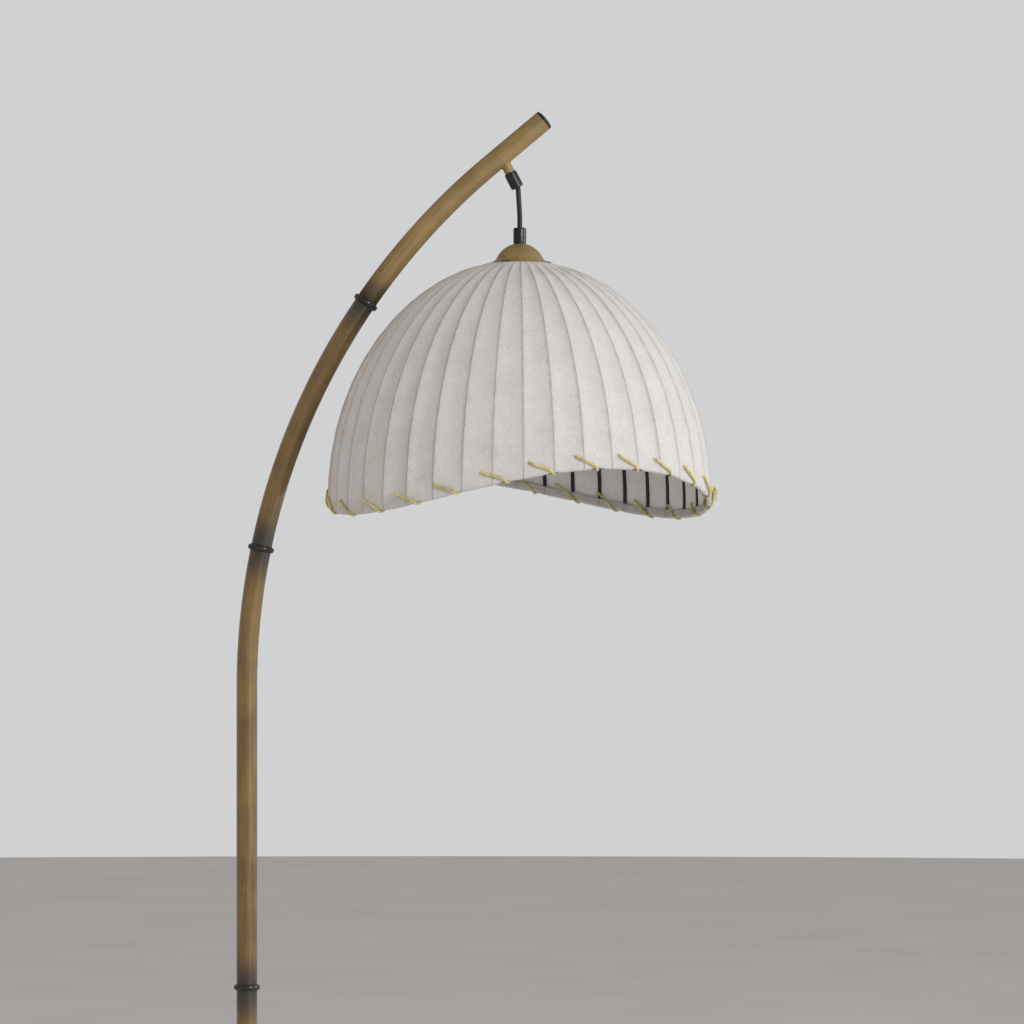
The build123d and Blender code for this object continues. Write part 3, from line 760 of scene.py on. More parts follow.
@dataclass
class Pole:
    """Bent tube in four sections, with its node rings, end cap and the stub under its tip."""

    line: PoleLine
    paint: bpy.types.Material
    tip_paint: bpy.types.Material
    ring_paint: bpy.types.Material
    cap_plastic: bpy.types.Material
    wall: float = 0.0015
    edge_bevel: float = 0.0003
    length_step: float = 0.006
    ring_height: float = 0.0066
    ring_proud: float = 0.0033
    ring_tuck: float = 0.0004
    lip_proud: float = 0.0005
    lip_edge: float = 0.0006
    lip_foot: float = 0.0009
    plug_depth: float = 0.012
    plug_clearance: float = 0.0003
    cap_gap: float = 0.0002
    cap_edge: float = 0.0028
    cap_crown: float = 0.0049
    stub_place: float = 0.0185
    stub_lean: float = 27.0
    stub_radius: float = 0.006
    stub_wall: float = 0.0009
    stub_sunk: float = 0.0025
    stub_length: float = 0.023
    weld_radius: float = 0.00105
    weld_waves: float = 0.00016
    weld_roughness: float = 0.00004
    sides: int = 72

    def __post_init__(self) -> None:
        """Take the tube's radius from the frame."""
        low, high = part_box("pole_foot_section")
        self.radius = (high.y - low.y) / 2

    def section(self, name: str, start: float, end: float, paint: bpy.types.Material) -> bpy.types.Object:
        """Build one length of tube with a real wall.

        Args:
            name: Piece name.
            start: Where it begins along the pole.
            end: Where it ends.
            paint: Its finish.

        Returns:
            The tube.
        """
        bevel = self.edge_bevel
        steps = max(4, round((end - start) / self.length_step))
        runs = [start, *np.linspace(start + bevel, end - bevel, steps), end]
        outer = [(run, self.radius) for run in runs]
        outer[0] = (start, self.radius - bevel)
        outer[-1] = (end, self.radius - bevel)
        inner = [(run, self.radius - self.wall) for run in runs[::-1]]
        verts = []
        skin = []
        for run, radius in outer + inner:
            place = self.line.at(run)
            for angle in np.linspace(0.0, math.tau, self.sides, endpoint=False):
                local = Vector((radius * math.cos(angle), radius * math.sin(angle), 0.0))
                verts.append(place @ local)
                skin.append((local.x, local.y, run))
        faces = grid_faces(len(outer) + len(inner), self.sides, close_rows=True)
        return mesh_piece(name, np.array(verts), faces, paint, np.array(skin))

    def ring(self, name: str, run: float) -> bpy.types.Object:
        """Build a node ring: a full bead between two thin lips.

        Args:
            name: Piece name.
            run: Its place along the pole.

        Returns:
            The ring.
        """
        half = self.ring_height / 2
        inner = self.radius + self.lip_proud
        bore = self.radius - self.ring_tuck
        reach = self.ring_proud - self.lip_proud
        outline = [(bore, -half - self.lip_foot), (inner, -half - self.lip_edge), (inner, -half)]
        for angle in np.radians(np.linspace(-86, 86, 19)):
            outline.append((inner + reach * math.cos(angle) ** 0.7, half * math.sin(angle)))
        outline += [(inner, half), (inner, half + self.lip_edge), (bore, half + self.lip_foot)]
        verts, faces, skin = lathe(outline, self.sides, self.line.at(run))
        return mesh_piece(name, verts, faces, self.ring_paint, skin)

    def end_cap(self) -> bpy.types.Object:
        """Build the pressed-in end cap with its softly domed face."""
        top = self.line.tip_length
        radius = self.radius
        plug = radius - self.wall - self.plug_clearance
        corners = [
            (AXIS_HOLE, top - self.plug_depth, 0.0),
            (plug, top - self.plug_depth, 0.0008),
            (plug, top + self.cap_gap, 0.0),
            (radius, top + self.cap_gap, 0.0004),
            (radius, top + self.cap_edge, 0.0011),
            (radius * 0.62, top + self.cap_crown - 0.0005, 0.006),
            (AXIS_HOLE, top + self.cap_crown, 0.0),
        ]
        bend_end = self.line.at(self.line.tip_run(0.0))
        verts, faces, skin = lathe(rounded(corners, 8), self.sides, bend_end)
        return mesh_piece("end_cap", verts, faces, self.cap_plastic, skin)

    def stub_frame(self) -> Matrix:
        """Return the stub's place: its root on the tube's centreline, its Z axis towards its mouth."""
        root = self.line.at(self.line.tip_run(self.stub_place)).translation
        return Matrix.Translation(root) @ Matrix.Rotation(math.radians(180 - self.stub_lean), 4, "Y")

    def stub(self) -> bpy.types.Object:
        """Build the short welded stub."""
        start = self.radius - self.stub_sunk
        mouth = self.stub_length - 0.0002
        bore = self.stub_radius - self.stub_wall
        corners = [
            (bore, start, 0.0),
            (self.stub_radius, start, 0.0),
            (self.stub_radius, mouth, 0.0003),
            (bore, mouth, 0.0),
        ]
        verts, faces, skin = lathe(rounded(corners), 48, self.stub_frame())
        return mesh_piece("stub", verts, faces, self.tip_paint, skin)

    def weld(self, rng: np.random.Generator) -> bpy.types.Object:
        """Build the painted weld bead where the stub meets the arm.

        Args:
            rng: Source of its small unevenness.

        Returns:
            The bead.
        """
        place = self.stub_frame()
        spin = place.to_3x3()
        axis = self.line.at(self.line.tip_run(self.stub_place)).to_3x3() @ Vector((0, 0, 1))
        way = spin @ Vector((0, 0, 1))
        turns = np.linspace(0.0, math.tau, 73)
        line = []
        for turn in turns:
            local = Vector((self.stub_radius * math.cos(turn), self.stub_radius * math.sin(turn), 0))
            spoke = spin @ local
            # distance down the stub at which this line of it leaves the tube
            a = 1 - way.dot(axis) ** 2
            b = 2 * (spoke.dot(way) - spoke.dot(axis) * way.dot(axis))
            c = spoke.dot(spoke) - spoke.dot(axis) ** 2 - self.radius**2
            down = (-b + math.sqrt(b * b - 4 * a * c)) / (2 * a)
            line.append(place.translation + spoke + way * down)
        waves = self.weld_waves * np.sin(turns * 9 + 1.0)
        uneven = self.weld_radius + waves + rng.normal(0, self.weld_roughness, len(turns))
        uneven[-1] = uneven[0]
        verts, faces, skin = sweep(np.array(line), uneven, 12)
        return mesh_piece("stub_weld", verts, faces, self.tip_paint, skin)

    def build(self, rng: np.random.Generator) -> list[bpy.types.Object]:
        """Build the whole pole and ride it on the stand.

        Args:
            rng: Source of small unevenness.

        Returns:
            The pieces.
        """
        tip = self.line.tip_run(self.line.tip_length)
        ends = [self.line.foot, *self.line.joint_runs(), tip]
        sections = (
            ("pole_foot_section", self.paint),
            ("pole_middle_section", self.paint),
            ("arm_lower_section", self.paint),
            ("arm_upper_section", self.tip_paint),
        )
        pieces = []
        for (node, paint), start, end in zip(sections, ends, ends[1:]):
            tube = self.section(node.replace("_section", "_tube"), start, end, paint)
            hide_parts(node)
            pieces.append(tube)
        for node, run in zip(("foot_ring", "low_ring", "middle_ring", "high_ring"), self.line.ring_runs()):
            bead = self.ring(node.replace("_ring", "_node_ring"), run)
            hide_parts(node)
            pieces.append(bead)
        cap = self.end_cap()
        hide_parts("arm_end_cap")
        stub = self.stub()
        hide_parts("arm_stub")
        weld = self.weld(rng)
        pieces += [cap, stub, weld]
        for piece in pieces:
            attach(piece, Body.STAND.value)
        return pieces


@dataclass
class CordSet:
    """The short pendant cord, its two grips and the spun cap that it carries."""

    plastic: bpy.types.Material
    rubber: bpy.types.Material
    cap_paint: bpy.types.Material
    stub: Matrix
    stub_length: float
    diameter: float = 0.006
    grip_length: float = 0.020
    cord_clearance: float = 0.0003
    nipple_bore: float = 0.00515
    nipple_depth: float = 0.008
    cap_hole: float = 0.0056
    cap_crown: float = 0.0086
    cap_dome: float = 0.0303
    cap_wall: float = 0.0012
    flange_droop: float = 0.0024
    flange_lip: float = 0.0007

    def __post_init__(self) -> None:
        """Take the pivots and the grips' sizes from the frame."""
        joints = {joint["name"]: joint for joint in frame["joints"]}
        self.pivot = Vector(joints["swing_fore_aft"]["pos_m"])
        self.foot = Vector(joints["swing_sideways"]["pos_m"])
        low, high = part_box("lower_cord_grip")
        self.grip_radius = (high.y - low.y) / 2
        self.grip_foot = low.z
        self.mouth = self.stub @ Vector((0, 0, self.stub_length + self.grip_length))

    def grip(self, name: str, place: Matrix) -> bpy.types.Object:
        """Build a moulded grip with a bore, a waisted foot ridge and a softened mouth.

        Args:
            name: Piece name.
            place: Its frame, with Z from its foot to the cord's mouth.

        Returns:
            The grip.
        """
        bore = self.diameter / 2 + self.cord_clearance
        outer = self.grip_radius
        waist = outer - 0.0003
        corners = [
            (self.nipple_bore, 0.0, 0.0),
            (waist, 0.0, 0.0004),
            (waist, 0.0016, 0.0001),
            (outer, 0.0020, 0.0002),
            (outer, self.grip_length, 0.0022),
            (bore, self.grip_length - 0.0004, 0.0006),
            (bore, self.nipple_depth, 0.0),
            (self.nipple_bore, self.nipple_depth, 0.0),
        ]
        verts, faces, skin = lathe(rounded(corners, 7), 64, place)
        return mesh_piece(name, verts, faces, self.plastic, skin, sharp=50.0)

    def spun_cap(self) -> bpy.types.Object:
        """Build the spun cap: a flat crown, a dome and a thin rolled flange."""
        low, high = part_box("shade_cap")
        rim = low.z
        top = high.z
        flange = (high.y - low.y) / 2
        dome = self.cap_dome
        inside = dome - self.cap_wall
        lip = self.flange_lip
        lip_foot = rim - self.flange_droop
        centre = top - math.sqrt(dome**2 - self.cap_crown**2)
        first = math.asin((top - centre) / dome)
        last = math.asin((rim + 0.0042 - centre) / dome)
        outline = [(self.cap_hole, top), (self.cap_crown - 0.0004, top)]
        for angle in np.linspace(first, last, 30):
            outline.append((dome * math.cos(angle), centre + dome * math.sin(angle)))
        start = np.array(outline[-1])
        knee = np.array((start[0] + 0.0009, rim + 0.0016))
        edge = np.array((flange - 0.0009, lip_foot + 0.0013))
        for t in np.linspace(0.12, 1, 9):
            outline.append(tuple((1 - t) ** 2 * start + 2 * t * (1 - t) * knee + t**2 * edge))
        for angle in np.radians(np.linspace(80, -80, 7)):
            outline.append((flange - lip + lip * math.cos(angle), lip_foot + lip + lip * math.sin(angle)))
        outline.append((start[0] - 0.0006, rim))
        for angle in np.linspace(last, first, 24):
            outline.append((inside * math.cos(angle), centre + inside * math.sin(angle)))
        outline.append((self.cap_hole, top - 0.0022))
        place = Matrix.Translation(Vector((self.pivot.x, 0, 0)))
        verts, faces, skin = lathe(outline, 112, place)
        return mesh_piece("spun_cap", verts, faces, self.cap_paint, skin, sharp=50.0)

    def cord_route(self) -> np.ndarray:
        """Lay the cord's centreline from inside the upper grip to the pivot at the lower one.

        Returns:
            Its points.
        """
        way = self.stub.to_3x3() @ Vector((0, 0, 1))
        route = [
            self.mouth - way * 0.010,
            self.mouth - way * 0.004,
            self.mouth + way * 0.0016,
            Vector((self.pivot.x - 0.0014, 0, self.pivot.z - 0.006)),
            Vector((self.pivot.x - 0.0006, 0, self.pivot.z - 0.018)),
            Vector((self.pivot.x, 0, self.pivot.z - 0.029)),
            self.foot,
        ]
        curve = bpy.data.curves.new("cord_route", "CURVE")
        curve.dimensions = "3D"
        curve.resolution_u = 24
        spline = curve.splines.new("NURBS")
        spline.points.add(len(route) - 1)
        for knot, place in zip(spline.points, route):
            knot.co = (*place, 1.0)
        spline.order_u = 3
        spline.use_endpoint_u = True
        holder = bpy.data.objects.new("cord_route", curve)
        bpy.context.scene.collection.objects.link(holder)
        bpy.context.view_layer.update()
        read = bpy.data.meshes.new_from_object(holder)
        line = np.array([tuple(v.co) for v in read.vertices])
        bpy.data.objects.remove(holder)
        bpy.data.meshes.remove(read)
        return line

    def build(self) -> list[bpy.types.Object]:
        """Build the cord, its grips and the cap; the grips, the cap and the cord's tail each ride on the body that
        carries them, and the hanging cord is left on no body.

        Returns:
            The pieces.
        """
        upper = self.grip("upper_grip", self.stub @ Matrix.Translation((0, 0, self.stub_length)))
        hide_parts("upper_cord_grip")
        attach(upper, Body.STAND.value)
        lower_place = Matrix.Translation((self.pivot.x, 0, self.grip_foot))
        lower = self.grip("lower_grip", lower_place)
        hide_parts("lower_cord_grip")
        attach(lower, Body.CORD_END.value)
        cap = self.spun_cap()
        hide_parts("shade_cap")
        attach(cap, Body.PENDANT.value)
        tail_line = np.linspace(tuple(self.foot), (self.foot.x, 0.0, self.grip_foot + 0.010), 8)
        verts, faces, skin = sweep(tail_line, self.diameter / 2, 24)
        tail = mesh_piece("cord_tail", verts, faces, self.rubber, skin)
        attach(tail, Body.CORD_END.value)
        line = self.cord_route()
        verts, faces, skin = sweep(line, self.diameter / 2, 24)
        cord = mesh_piece("hanging_cord", verts, faces, self.rubber, skin)
        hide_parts("pendant_cord")
        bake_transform(cord)
        return [upper, lower, cap, tail, cord]


@dataclass
class Shade:
    """Cloth dome on its wires: forty gores, a turned-over top, a rolled saddle-shaped hem, and lacing."""

    linen: bpy.types.Material
    thread: bpy.types.Material
    rise: float = 0.286
    top_radius: float = 0.0544
    gores: int = 40
    first_seam: float = 1.0
    rows: int = 66
    hollow: float = 0.0024
    seam_proud: float = 0.00010
    seam_width: float = 0.0009
    ripple: float = 0.00016
    ripple_pace: float = 210.0
    ripple_width: float = 0.0045
    cloth: float = 0.0009
    top_ease: float = 0.018
    top_roll: float = 0.0034
    collar: float = 0.0405
    collar_rise: float = 0.0037
    hem_ease: float = 0.030
    hem_lift: float = 0.0015
    hem_roll: float = 0.0029
    fold: float = 0.008
    fold_lean: float = 0.0017
    hem_rise: float = 0.005
    hem_wave: float = 0.0256
    hem_turn: float = 30.0
    lacing_pull: float = 0.0013
    lacing_pull_width: float = 2.0
    stitches: int = 26
    first_stitch: float = 2.5
    stitch_height: float = 0.0155
    stitch_slant: float = 7.0
    ply_radius: float = 0.00098
    ply_offset: float = 0.00086
    ply_pitch: float = 0.0062
    ply_step: float = 0.0011
    knot_stitch: int = 6
    knot_size: float = 0.001178
    knot_proud: float = 0.0045
    knot_thread: float = 0.0011
    stated_drop: float = 0.345  # chosen figure for the flat cloth's drop, not worked out from the profile

    def __post_init__(self) -> None:
        """Take the dome's place and radius from the frame."""
        low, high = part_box("shade_fabric")
        self.radius = (high.x - low.x) / 2
        self.axis = (high.x + low.x) / 2
        self.top = high.z
        self.wide = self.top - self.rise * math.sqrt(1 - (self.top_radius / self.radius) ** 2)

    def hem_level(self, turn: float) -> float:
        """Return the hem's height at a turn in degrees from -Y towards +X."""
        return self.wide + self.hem_rise + self.hem_wave * math.cos(math.radians(2 * (turn - self.hem_turn)))

    def pull(self, turn: float) -> float:
        """Return how far the lacing draws the hem up at a turn, in metres."""
        pitch = 360.0 / self.stitches
        away = (turn - self.first_stitch - self.stitch_slant + pitch / 2) % pitch - pitch / 2
        return self.lacing_pull * math.exp(-((away / self.lacing_pull_width) ** 2))

    def dome_line(self, turn: float, part: float, sag: float, lean: float) -> tuple[np.ndarray, np.ndarray]:
        """Line of the cloth over the dome, from the top ring down to the hem.

        Args:
            turn: Degrees from -Y towards +X.
            part: Place across the gore, 0 at one seam and 1 at the next.
            sag: How hollow this gore is, as a share of the usual.
            lean: Shift of the hollow's lowest line, as a share of the gore.

        Returns:
            (radius, height) of each point, and the way out of the cloth there.
        """
        hem = self.hem_level(turn) + self.pull(turn) + self.hem_lift
        start = math.acos(self.top_radius / self.radius)
        end = math.asin((hem - self.wide) / self.rise)
        angle = start + (end - start) * np.linspace(0.0, 1.0, self.rows)
        dome = np.stack([self.radius * np.cos(angle), self.wide + self.rise * np.sin(angle)], axis=1)
        out = np.stack([np.cos(angle) / self.radius, np.sin(angle) / self.rise], axis=1)
        out /= np.linalg.norm(out, axis=1)[:, None]
        reach = dome[:, 0]
        run = line_lengths(dome)
        # the cloth lies flat against its wires at both ends and hollows between them
        near_top = smooth_step(run / self.top_ease)
        near_hem = 0.12 + 0.88 * smooth_step((run[-1] - run) / self.hem_ease)
        half = math.pi / self.gores
        across = 2 * part - 1
        bowl = (1 - across**2) * (1 + lean * across)
        chord = reach * (1 - math.cos(half)) * bowl
        hollow = self.hollow * sag * bowl * (0.35 + 0.65 * reach / self.radius)
        seam_away = min(part, 1 - part) * 2 * half * reach
        ridge = self.seam_proud * np.exp(-((seam_away / self.seam_width) ** 2))
        fades = np.exp(-((seam_away / self.ripple_width) ** 2))
        ripple = self.ripple * np.sin(run * self.ripple_pace + turn * 1.7) * fades
        depth = (chord + hollow) * near_top * near_hem - (ridge + ripple) * near_top
        return dome - out * depth[:, None], out

    def collar_line(self, edge: np.ndarray, out: np.ndarray) -> list[np.ndarray]:
        """Line of the cloth inside the top: on the fitter's arms, then over the top ring's wire.

        Args:
            edge: (radius, height) where the dome begins.
            out: Way out of the cloth there.

        Returns:
            (radius, height) points, up to the dome.
        """
        up = np.array((-out[1], out[0]))
        centre = edge - out * self.top_roll
        angles = np.radians(np.linspace(48, 8, 5))
        over = [centre + self.top_roll * (math.cos(a) * out + math.sin(a) * up) for a in angles]
        hub = np.array((self.collar, self.top + self.collar_rise))
        return [hub + (over[0] - hub) * t for t in (0.0, 0.3, 0.6, 0.85)] + over

    def hem_line(self, edge: np.ndarray, out: np.ndarray) -> list[np.ndarray]:
        """Line of the cloth under the hem's wire and up inside it.

        Args:
            edge: (radius, height) where the dome ends.
            out: Way out of the cloth there.

        Returns:
            (radius, height) points, from the dome on.
        """
        down = np.array((out[1], -out[0]))
        centre = edge - out * self.hem_roll
        angles = np.radians(np.linspace(20, 180, 9))
        under = [centre + self.hem_roll * (math.cos(a) * out + math.sin(a) * down) for a in angles]
        shares = (0.25, 0.5, 0.75, 1.0)
        return under + [under[-1] - down * self.fold * t + out * self.fold_lean * t**0.8 for t in shares]

    def profile(self, turn: float, part: float, sag: float, lean: float) -> list:
        """Line of the cloth from the inside of the top, over the dome, round the hem and up inside it.

        Args:
            turn: Degrees from -Y towards +X.
            part: Place across the gore, 0 at one seam and 1 at the next.
            sag: How hollow this gore is, as a share of the usual.
            lean: Shift of the hollow's lowest line, as a share of the gore.

        Returns:
            (radius, height, length so far) of each point.
        """
        dome, out = self.dome_line(turn, part, sag, lean)
        line = np.array([*self.collar_line(dome[0], out[0]), *dome, *self.hem_line(dome[-1], out[-1])])
        return [(point[0], point[1], run) for point, run in zip(line, line_lengths(line))]

    def cloth_dome(self, rng: np.random.Generator) -> bpy.types.Object:
        """Build the cloth as one thin closed sheet.

        Args:
            rng: Source of the gores' small differences.

        Returns:
            The cloth, with its length from the top stored for the weave.
        """
        parts = (0.0, 0.02, 0.05, 0.11, 0.2, 0.3, 0.4, 0.5, 0.6, 0.7, 0.8, 0.89, 0.95, 0.98)
        pitch = 360.0 / self.gores
        sag = rng.uniform(0.7, 1.35, self.gores)
        lean = rng.uniform(-0.25, 0.25, self.gores)
        columns = []
        for gore in range(self.gores):
            for part in parts:
                turn = self.first_seam + (gore + part) * pitch
                columns.append((turn, self.profile(turn, part, sag[gore], lean[gore])))
        rows = len(columns[0][1])
        verts = np.empty((rows, len(columns), 3))
        down = np.empty((rows, len(columns)))
        for j, (turn, line) in enumerate(columns):
            east, south = math.sin(math.radians(turn)), math.cos(math.radians(turn))
            for i, (reach, height, length) in enumerate(line):
                verts[i, j] = (self.axis + reach * east, -reach * south, height)
                down[i, j] = length
        faces = grid_faces(rows, len(columns), inward=True)
        dome = mesh_piece("shade_cloth", verts.reshape(-1, 3), faces, self.linen, sharp=75.0)
        store = dome.data.attributes.new("down", "FLOAT", "POINT")
        store.data.foreach_set("value", down.ravel().astype(np.float32))
        shell = dome.modifiers.new("thickness", "SOLIDIFY")
        shell.thickness = self.cloth
        shell.offset = -1.0
        shell.use_even_offset = True
        bake_modifiers(dome)
        return dome

    def on_shade(self, turn: float, above_hem: float, inset: float) -> np.ndarray:
        """Place near the hem.

        Args:
            turn: Degrees from -Y towards +X.
            above_hem: Height above the hem.
            inset: Distance in from the outside of the cloth.

        Returns:
            The point.
        """
        height = self.hem_level(turn) + self.pull(turn) + above_hem
        reach = self.radius * math.sqrt(1 - ((height - self.wide) / self.rise) ** 2) - inset
        around = math.radians(turn)
        return np.array((self.axis + reach * math.sin(around), -reach * math.cos(around), height))

    def lacing_line(self, rng: np.random.Generator) -> np.ndarray:
        """Lay the one thread that whips over the hem all the way round.

        Args:
            rng: Source of the stitches' small differences.

        Returns:
            Points of its centreline, a closed loop.
        """
        pitch = 360.0 / self.stitches
        knots = []
        for k in range(self.stitches):
            turn = self.first_stitch + k * pitch + rng.uniform(-0.35, 0.35)
            high = self.stitch_height + rng.uniform(-0.0011, 0.0011)
            slant = self.stitch_slant + rng.uniform(-0.5, 0.5)
            rest = pitch - slant
            for go, above, inset in (
                (0.0, high, 0.0004),
                (0.10, high - 0.0018, -0.0017),
                (0.45, high * 0.55, -0.0016),
                (0.80, high * 0.17, -0.0016),
                (1.0, -0.0028, 0.0022),
            ):
                knots.append(self.on_shade(turn + slant * go, above, inset))
            for go, above, inset in (
                (0.14, 0.0006, 0.0074),
                (0.38, high * 0.38, 0.0072),
                (0.70, high * 0.78, 0.0050),
                (0.93, high * 1.0, 0.0030),
            ):
                knots.append(self.on_shade(turn + slant + rest * go, above, inset))
        return smooth_line(np.array(knots), 10, closed=True)

    def lacing(self, rng: np.random.Generator) -> bpy.types.Object:
        """Build the lacing as two plies twisted round each other.

        Args:
            rng: Source of the stitches' small differences.

        Returns:
            The thread.
        """
        line = self.lacing_line(rng)
        line = np.concatenate([line, line[:1]])
        run = line_lengths(line)
        even = np.linspace(0.0, run[-1], round(run[-1] / self.ply_step))
        line = np.stack([np.interp(even, run, line[:, axis]) for axis in range(3)], axis=1)
        tangent, side, other = carried_frames(line)
        parts = []
        for ply in range(2):
            turn = even / self.ply_pitch * math.tau + ply * math.pi
            offset = side * np.cos(turn)[:, None] + other * np.sin(turn)[:, None]
            parts.append(sweep(line + offset * self.ply_offset, self.ply_radius, 8))
        return join_parts("hem_lacing", parts, self.thread)

    def knot(self) -> bpy.types.Object:
        """Build the thread's small knot, with its two cut ends."""
        turn = self.first_stitch + self.knot_stitch * 360.0 / self.stitches + 1.2
        height = self.stitch_height - 0.001
        centre = self.on_shade(turn, height, -self.knot_proud)
        out = centre - self.on_shade(turn, height, 0.0)
        out /= np.linalg.norm(out)
        along = np.cross((0.0, 0.0, 1.0), out)
        rise = np.cross(out, along)
        # a trefoil for the knot's body
        angle = np.linspace(0.0, math.tau, 90)
        reach = 2.0 + np.cos(3 * angle)
        loops = np.outer(reach * np.cos(2 * angle), along)
        loops += np.outer(reach * np.sin(2 * angle), rise)
        loops += np.outer(1.1 * np.sin(3 * angle), out)
        parts = [sweep(centre + loops * self.knot_size, self.knot_thread, 10)]
        for way, length in ((1.0, 0.011), (-0.6, 0.008)):
            t = np.linspace(0.0, 1.0, 14)
            bent = np.outer(t * length * way * 0.6, along)
            bent += np.outer(t * 0.002 + 0.0008 * np.sin(t * 5), out)
            bent -= np.outer(t**1.4 * length, rise)
            parts.append(sweep(centre + bent, 0.0012 * (1 - 0.15 * t), 10))
        return join_parts("lacing_knot", parts, self.thread)

    def build(self, rng: np.random.Generator) -> list[bpy.types.Object]:
        """Build the cloth and its lacing and hang them on the pendant.

        Args:
            rng: Source of small differences.

        Returns:
            The pieces.
        """
        dome = self.cloth_dome(rng)
        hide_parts("shade_fabric")
        lacing = self.lacing(rng)
        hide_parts("hem_stitching")
        knot = self.knot()
        for piece in (dome, lacing, knot):
            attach(piece, Body.PENDANT.value)
        self.flat_area()
        return [dome, lacing, knot]

    def flat_area(self) -> float:
        """Return the cut cloth's area: forty gores with their turned-in top and hem."""
        pitch = 360.0 / self.gores
        area = 0.0
        for gore in range(self.gores):
            line = np.array(self.profile(self.first_seam + (gore + 0.5) * pitch, 0.5, 1.0, 0.0))
            width = (line[1:, 0] + line[:-1, 0]) / 2 * math.radians(pitch)
            area += float(width @ np.diff(line[:, 2]))
        return area


@dataclass
class Workshop:
    """Every finish of the lamp, made once and looked up by its slot in the record."""

    rings: tuple[Place, ...]
    shade_axis: Place

    def finishes(self) -> dict[str, bpy.types.Material]:
        """Make the materials.

        Returns:
            Material for each slot of the record.
        """
        made = {
            "bronze": BronzePaint("bronze_paint", self.rings),
            # matte bronze for the upper arm, stub, weld and cap: the matte finish is real, but its lighter gold is
            # painted light, a lit copy of the bronze paint where the upper arm faces up into the light
            "bronze_matte": BronzePaint(
                "bronze_matte_lit_paint",
                self.rings,
                gold=(0.290, 0.197, 0.074),
                brown=(0.205, 0.136, 0.048),
                rough=(0.50, 0.62),
                coat=0.1,
                coat_rough=0.4,
            ),
            "dark_ring": Finish(
                "dark_ring_paint", (0.012, 0.010, 0.009), (0.030, 0.024, 0.020), (0.28, 0.42),
                metallic=0.3, coat=0.2,
            ),
            "black_plastic": Finish(
                "black_plastic", (0.006, 0.006, 0.007), (0.011, 0.011, 0.012), (0.27, 0.35),
                grain_depth=0.000002,
            ),
            "cord_rubber": Finish(
                "cord_sheath", (0.007, 0.007, 0.008), (0.013, 0.013, 0.014), (0.55, 0.66),
                grain=1800.0, grain_depth=0.00001,
            ),
            "zinc_steel": Finish(
                "zinc_plate", (0.42, 0.42, 0.40), (0.62, 0.62, 0.58), (0.25, 0.45),
                metallic=1.0, stretch=(1.0, 1.0, 0.1),
            ),
            "cast_stone": Finish(
                "cast_stone", (0.20, 0.19, 0.18), (0.36, 0.35, 0.33), (0.8, 0.95),
                mottle=220.0, grain=700.0, grain_depth=0.0004,
            ),
            "felt": Finish(
                "felt_pad", (0.010, 0.010, 0.012), (0.030, 0.030, 0.034), (0.9, 1.0),
                mottle=300.0, grain=1600.0, grain_depth=0.0004, sheen=0.4,
            ),
            "phenolic": Finish(
                "holder_phenolic", (0.010, 0.010, 0.010), (0.022, 0.021, 0.020), (0.25, 0.4),
                grain_depth=0.000012,
            ),
            "glazed_ceramic": Finish(
                "glazed_ceramic", (0.68, 0.66, 0.60), (0.80, 0.78, 0.74), (0.08, 0.16),
                coat=0.6, grain_depth=0.000008,
            ),
            "brass": Finish(
                "brass", (0.55, 0.36, 0.10), (0.72, 0.52, 0.20), (0.22, 0.36),
                metallic=1.0, stretch=(0.1, 1.0, 1.0),
            ),
            "nickel": Finish(
                "nickel_plate", (0.50, 0.48, 0.45), (0.68, 0.66, 0.62), (0.2, 0.34), metallic=1.0
            ),
            "opal_glass": Finish(
                "opal_glass", (0.80, 0.79, 0.76), (0.86, 0.85, 0.83), (0.10, 0.16),
                coat=0.5, subsurface=0.35, grain_depth=0.000004,
            ),
            "white_plastic": Finish(
                "white_plastic", (0.70, 0.70, 0.68), (0.78, 0.78, 0.76), (0.4, 0.55)
            ),
            "rib_wire": Finish(
                "rib_paint", (0.010, 0.007, 0.006), (0.028, 0.019, 0.014), (0.35, 0.5),
                metallic=0.2, grain=1200.0,
            ),
            "linen": LinenCloth("shade_linen", self.shade_axis, Shade.gores, Shade.first_seam),
            "thread": WaxedThread("lacing_thread"),
        }
        return {slot: finish.material() for slot, finish in made.items()}

    @staticmethod
    def dress_nodes(materials: dict[str, bpy.types.Material]) -> int:
        """Give every node of the frame the finish of its slot.

        Args:
            materials: Material for each slot.

        Returns:
            How many nodes were dressed.
        """
        parts = frame["record"]["subparts"]
        for part in parts:
            mesh = frame["nodes"][part["node"]].data
            mesh.materials.clear()
            mesh.materials.append(materials[part["material_slot"]])
        return len(parts)


@dataclass(frozen=True)
class SoftBox:
    """One soft light that faces the lamp: its place, its width and height, its watts and its tint."""

    name: str
    place: Place
    size: tuple[float, float]
    power: float
    tint: Colour
    shines: bool = True

    def hang(self, aim: Place) -> None:
        """Hang the light.

        Args:
            aim: Place that it faces.
        """
        data = bpy.data.lights.new(self.name, "AREA")
        data.shape = "RECTANGLE"
        data.size, data.size_y = self.size
        data.energy = self.power
        data.color = self.tint
        light = bpy.data.objects.new(self.name, data)
        light.location = self.place
        light.rotation_euler = (Vector(aim) - Vector(self.place)).to_track_quat("-Z", "Y").to_euler()
        light.visible_glossy = self.shines
        bpy.context.scene.collection.objects.link(light)


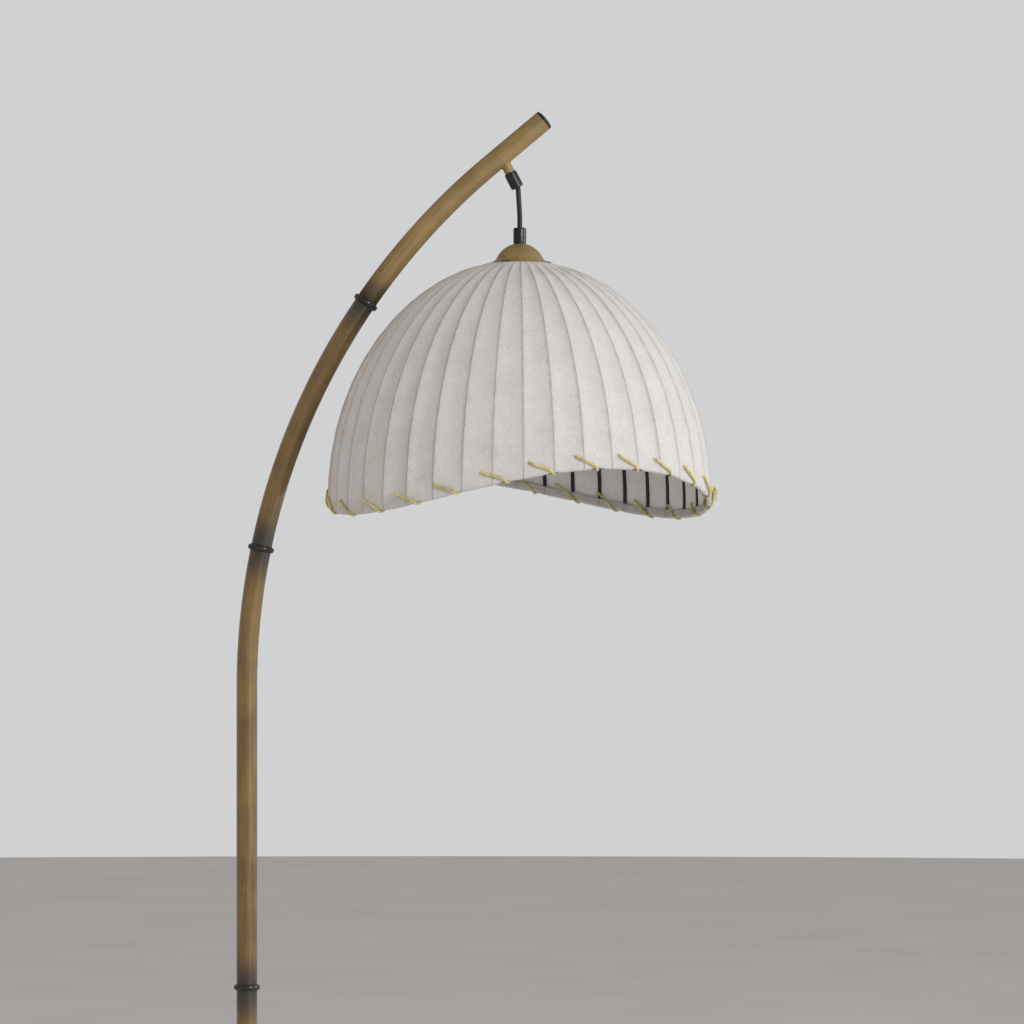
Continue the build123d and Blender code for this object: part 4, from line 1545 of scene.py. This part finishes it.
@dataclass
class Studio:
    """Pale floor, soft light from the right and the camera."""

    aim: Place = (0.30, 0.0, 1.30)
    camera_place: Place = (0.318, -5.8, 1.100)
    lens: float = 170.0
    shift: float = 0.0977
    backdrop: float = 0.645
    backdrop_tint: Colour = (0.985, 0.99, 1.0)
    ambient: float = 0.44
    ambient_tint: Colour = (1.0, 0.955, 0.925)
    floor_radius: float = 16.0
    floor_drop: float = 0.0003
    lights: tuple[SoftBox, ...] = (
        SoftBox("key_right", (4.65, -5.10, 3.0), (0.5, 3.0), 232.0, (1.0, 1.0, 1.0)),
        SoftBox("side_right", (6.2, 0.6, 2.7), (2.4, 2.4), 125.0, (1.0, 0.995, 0.99)),
        SoftBox("front", (0.9, -6.9, 3.2), (3.6, 2.8), 52.0, (1.0, 0.985, 0.97), shines=False),
        SoftBox("fill_left", (-5.4, -2.4, 2.4), (3.6, 3.6), 50.0, (1.0, 0.84, 0.75), shines=False),
    )

    def floor(self) -> bpy.types.Object:
        """Lay a wide pale disc under the lamp."""
        mesh = bpy.data.meshes.new("studio_floor")
        sides = 96
        turns = [math.tau * k / sides for k in range(sides)]
        reach = self.floor_radius
        rim = [(reach * math.cos(turn), reach * math.sin(turn), -self.floor_drop) for turn in turns]
        mesh.from_pydata(rim, [], [tuple(range(sides))])
        finish = Finish(
            "studio_floor", (0.72, 0.725, 0.73), (0.76, 0.76, 0.76), (0.8, 0.9), mottle=2.0, grain=40.0
        )
        mesh.materials.append(finish.material())
        floor = bpy.data.objects.new("studio_floor", mesh)
        bpy.context.scene.collection.objects.link(floor)
        return floor

    def sky(self) -> None:
        """Make the pale surround, seen brighter than it shines."""
        world = bpy.data.worlds.new("studio")
        world.use_nodes = True
        tree = world.node_tree
        tree.nodes.clear()
        paths = tree.nodes.new("ShaderNodeLightPath")
        seen = tree.nodes.new("ShaderNodeBackground")
        seen.inputs["Color"].default_value = (*self.backdrop_tint, 1.0)
        seen.inputs["Strength"].default_value = self.backdrop
        shines = tree.nodes.new("ShaderNodeBackground")
        shines.inputs["Color"].default_value = (*self.ambient_tint, 1.0)
        shines.inputs["Strength"].default_value = self.ambient
        mixed = tree.nodes.new("ShaderNodeMixShader")
        out = tree.nodes.new("ShaderNodeOutputWorld")
        tree.links.new(paths.outputs["Is Camera Ray"], mixed.inputs[0])
        tree.links.new(shines.outputs[0], mixed.inputs[1])
        tree.links.new(seen.outputs[0], mixed.inputs[2])
        tree.links.new(mixed.outputs[0], out.inputs["Surface"])
        bpy.context.scene.world = world

    def camera(self) -> None:
        """Set up the level camera."""
        data = bpy.data.cameras.new("studio_camera")
        data.lens = self.lens
        data.sensor_width = 36.0
        data.shift_y = self.shift
        data.clip_end = 60.0
        camera = bpy.data.objects.new("studio_camera", data)
        camera.location = self.camera_place
        camera.rotation_euler = (math.radians(90.0), 0.0, 0.0)
        bpy.context.scene.collection.objects.link(camera)
        bpy.context.scene.camera = camera

    def build(self) -> None:
        """Set up floor, light and camera."""
        bpy.context.scene.view_settings.view_transform = "Standard"
        self.camera()
        self.floor()
        self.sky()
        for light in self.lights:
            light.hang(self.aim)


def main() -> None:
    """Build the lamp's looks, one sub-assembly after another."""
    logging.basicConfig(level=logging.INFO, format="%(name)s: %(message)s")
    rng = np.random.default_rng(SEED)
    Studio().build()
    log.info("studio, light and camera")
    line = PoleLine()
    low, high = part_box("shade_fabric")
    materials = Workshop(line.ring_centres(), ((low.x + high.x) / 2, 0.0, 0.0)).finishes()
    log.info("%d nodes dressed", Workshop.dress_nodes(materials))
    pole = Pole(
        line,
        materials["bronze"],
        materials["bronze_matte"],
        materials["dark_ring"],
        materials["black_plastic"],
    )
    cords = CordSet(
        materials["black_plastic"],
        materials["cord_rubber"],
        materials["bronze_matte"],
        pole.stub_frame(),
        pole.stub_length,
    )
    shade = Shade(materials["linen"], materials["thread"])
    made = cords.build() + pole.build(rng) + shade.build(rng)
    for piece in made:
        log.info("%s: %d faces", piece.name, len(piece.data.polygons))


if __name__ == "__main__":
    main()
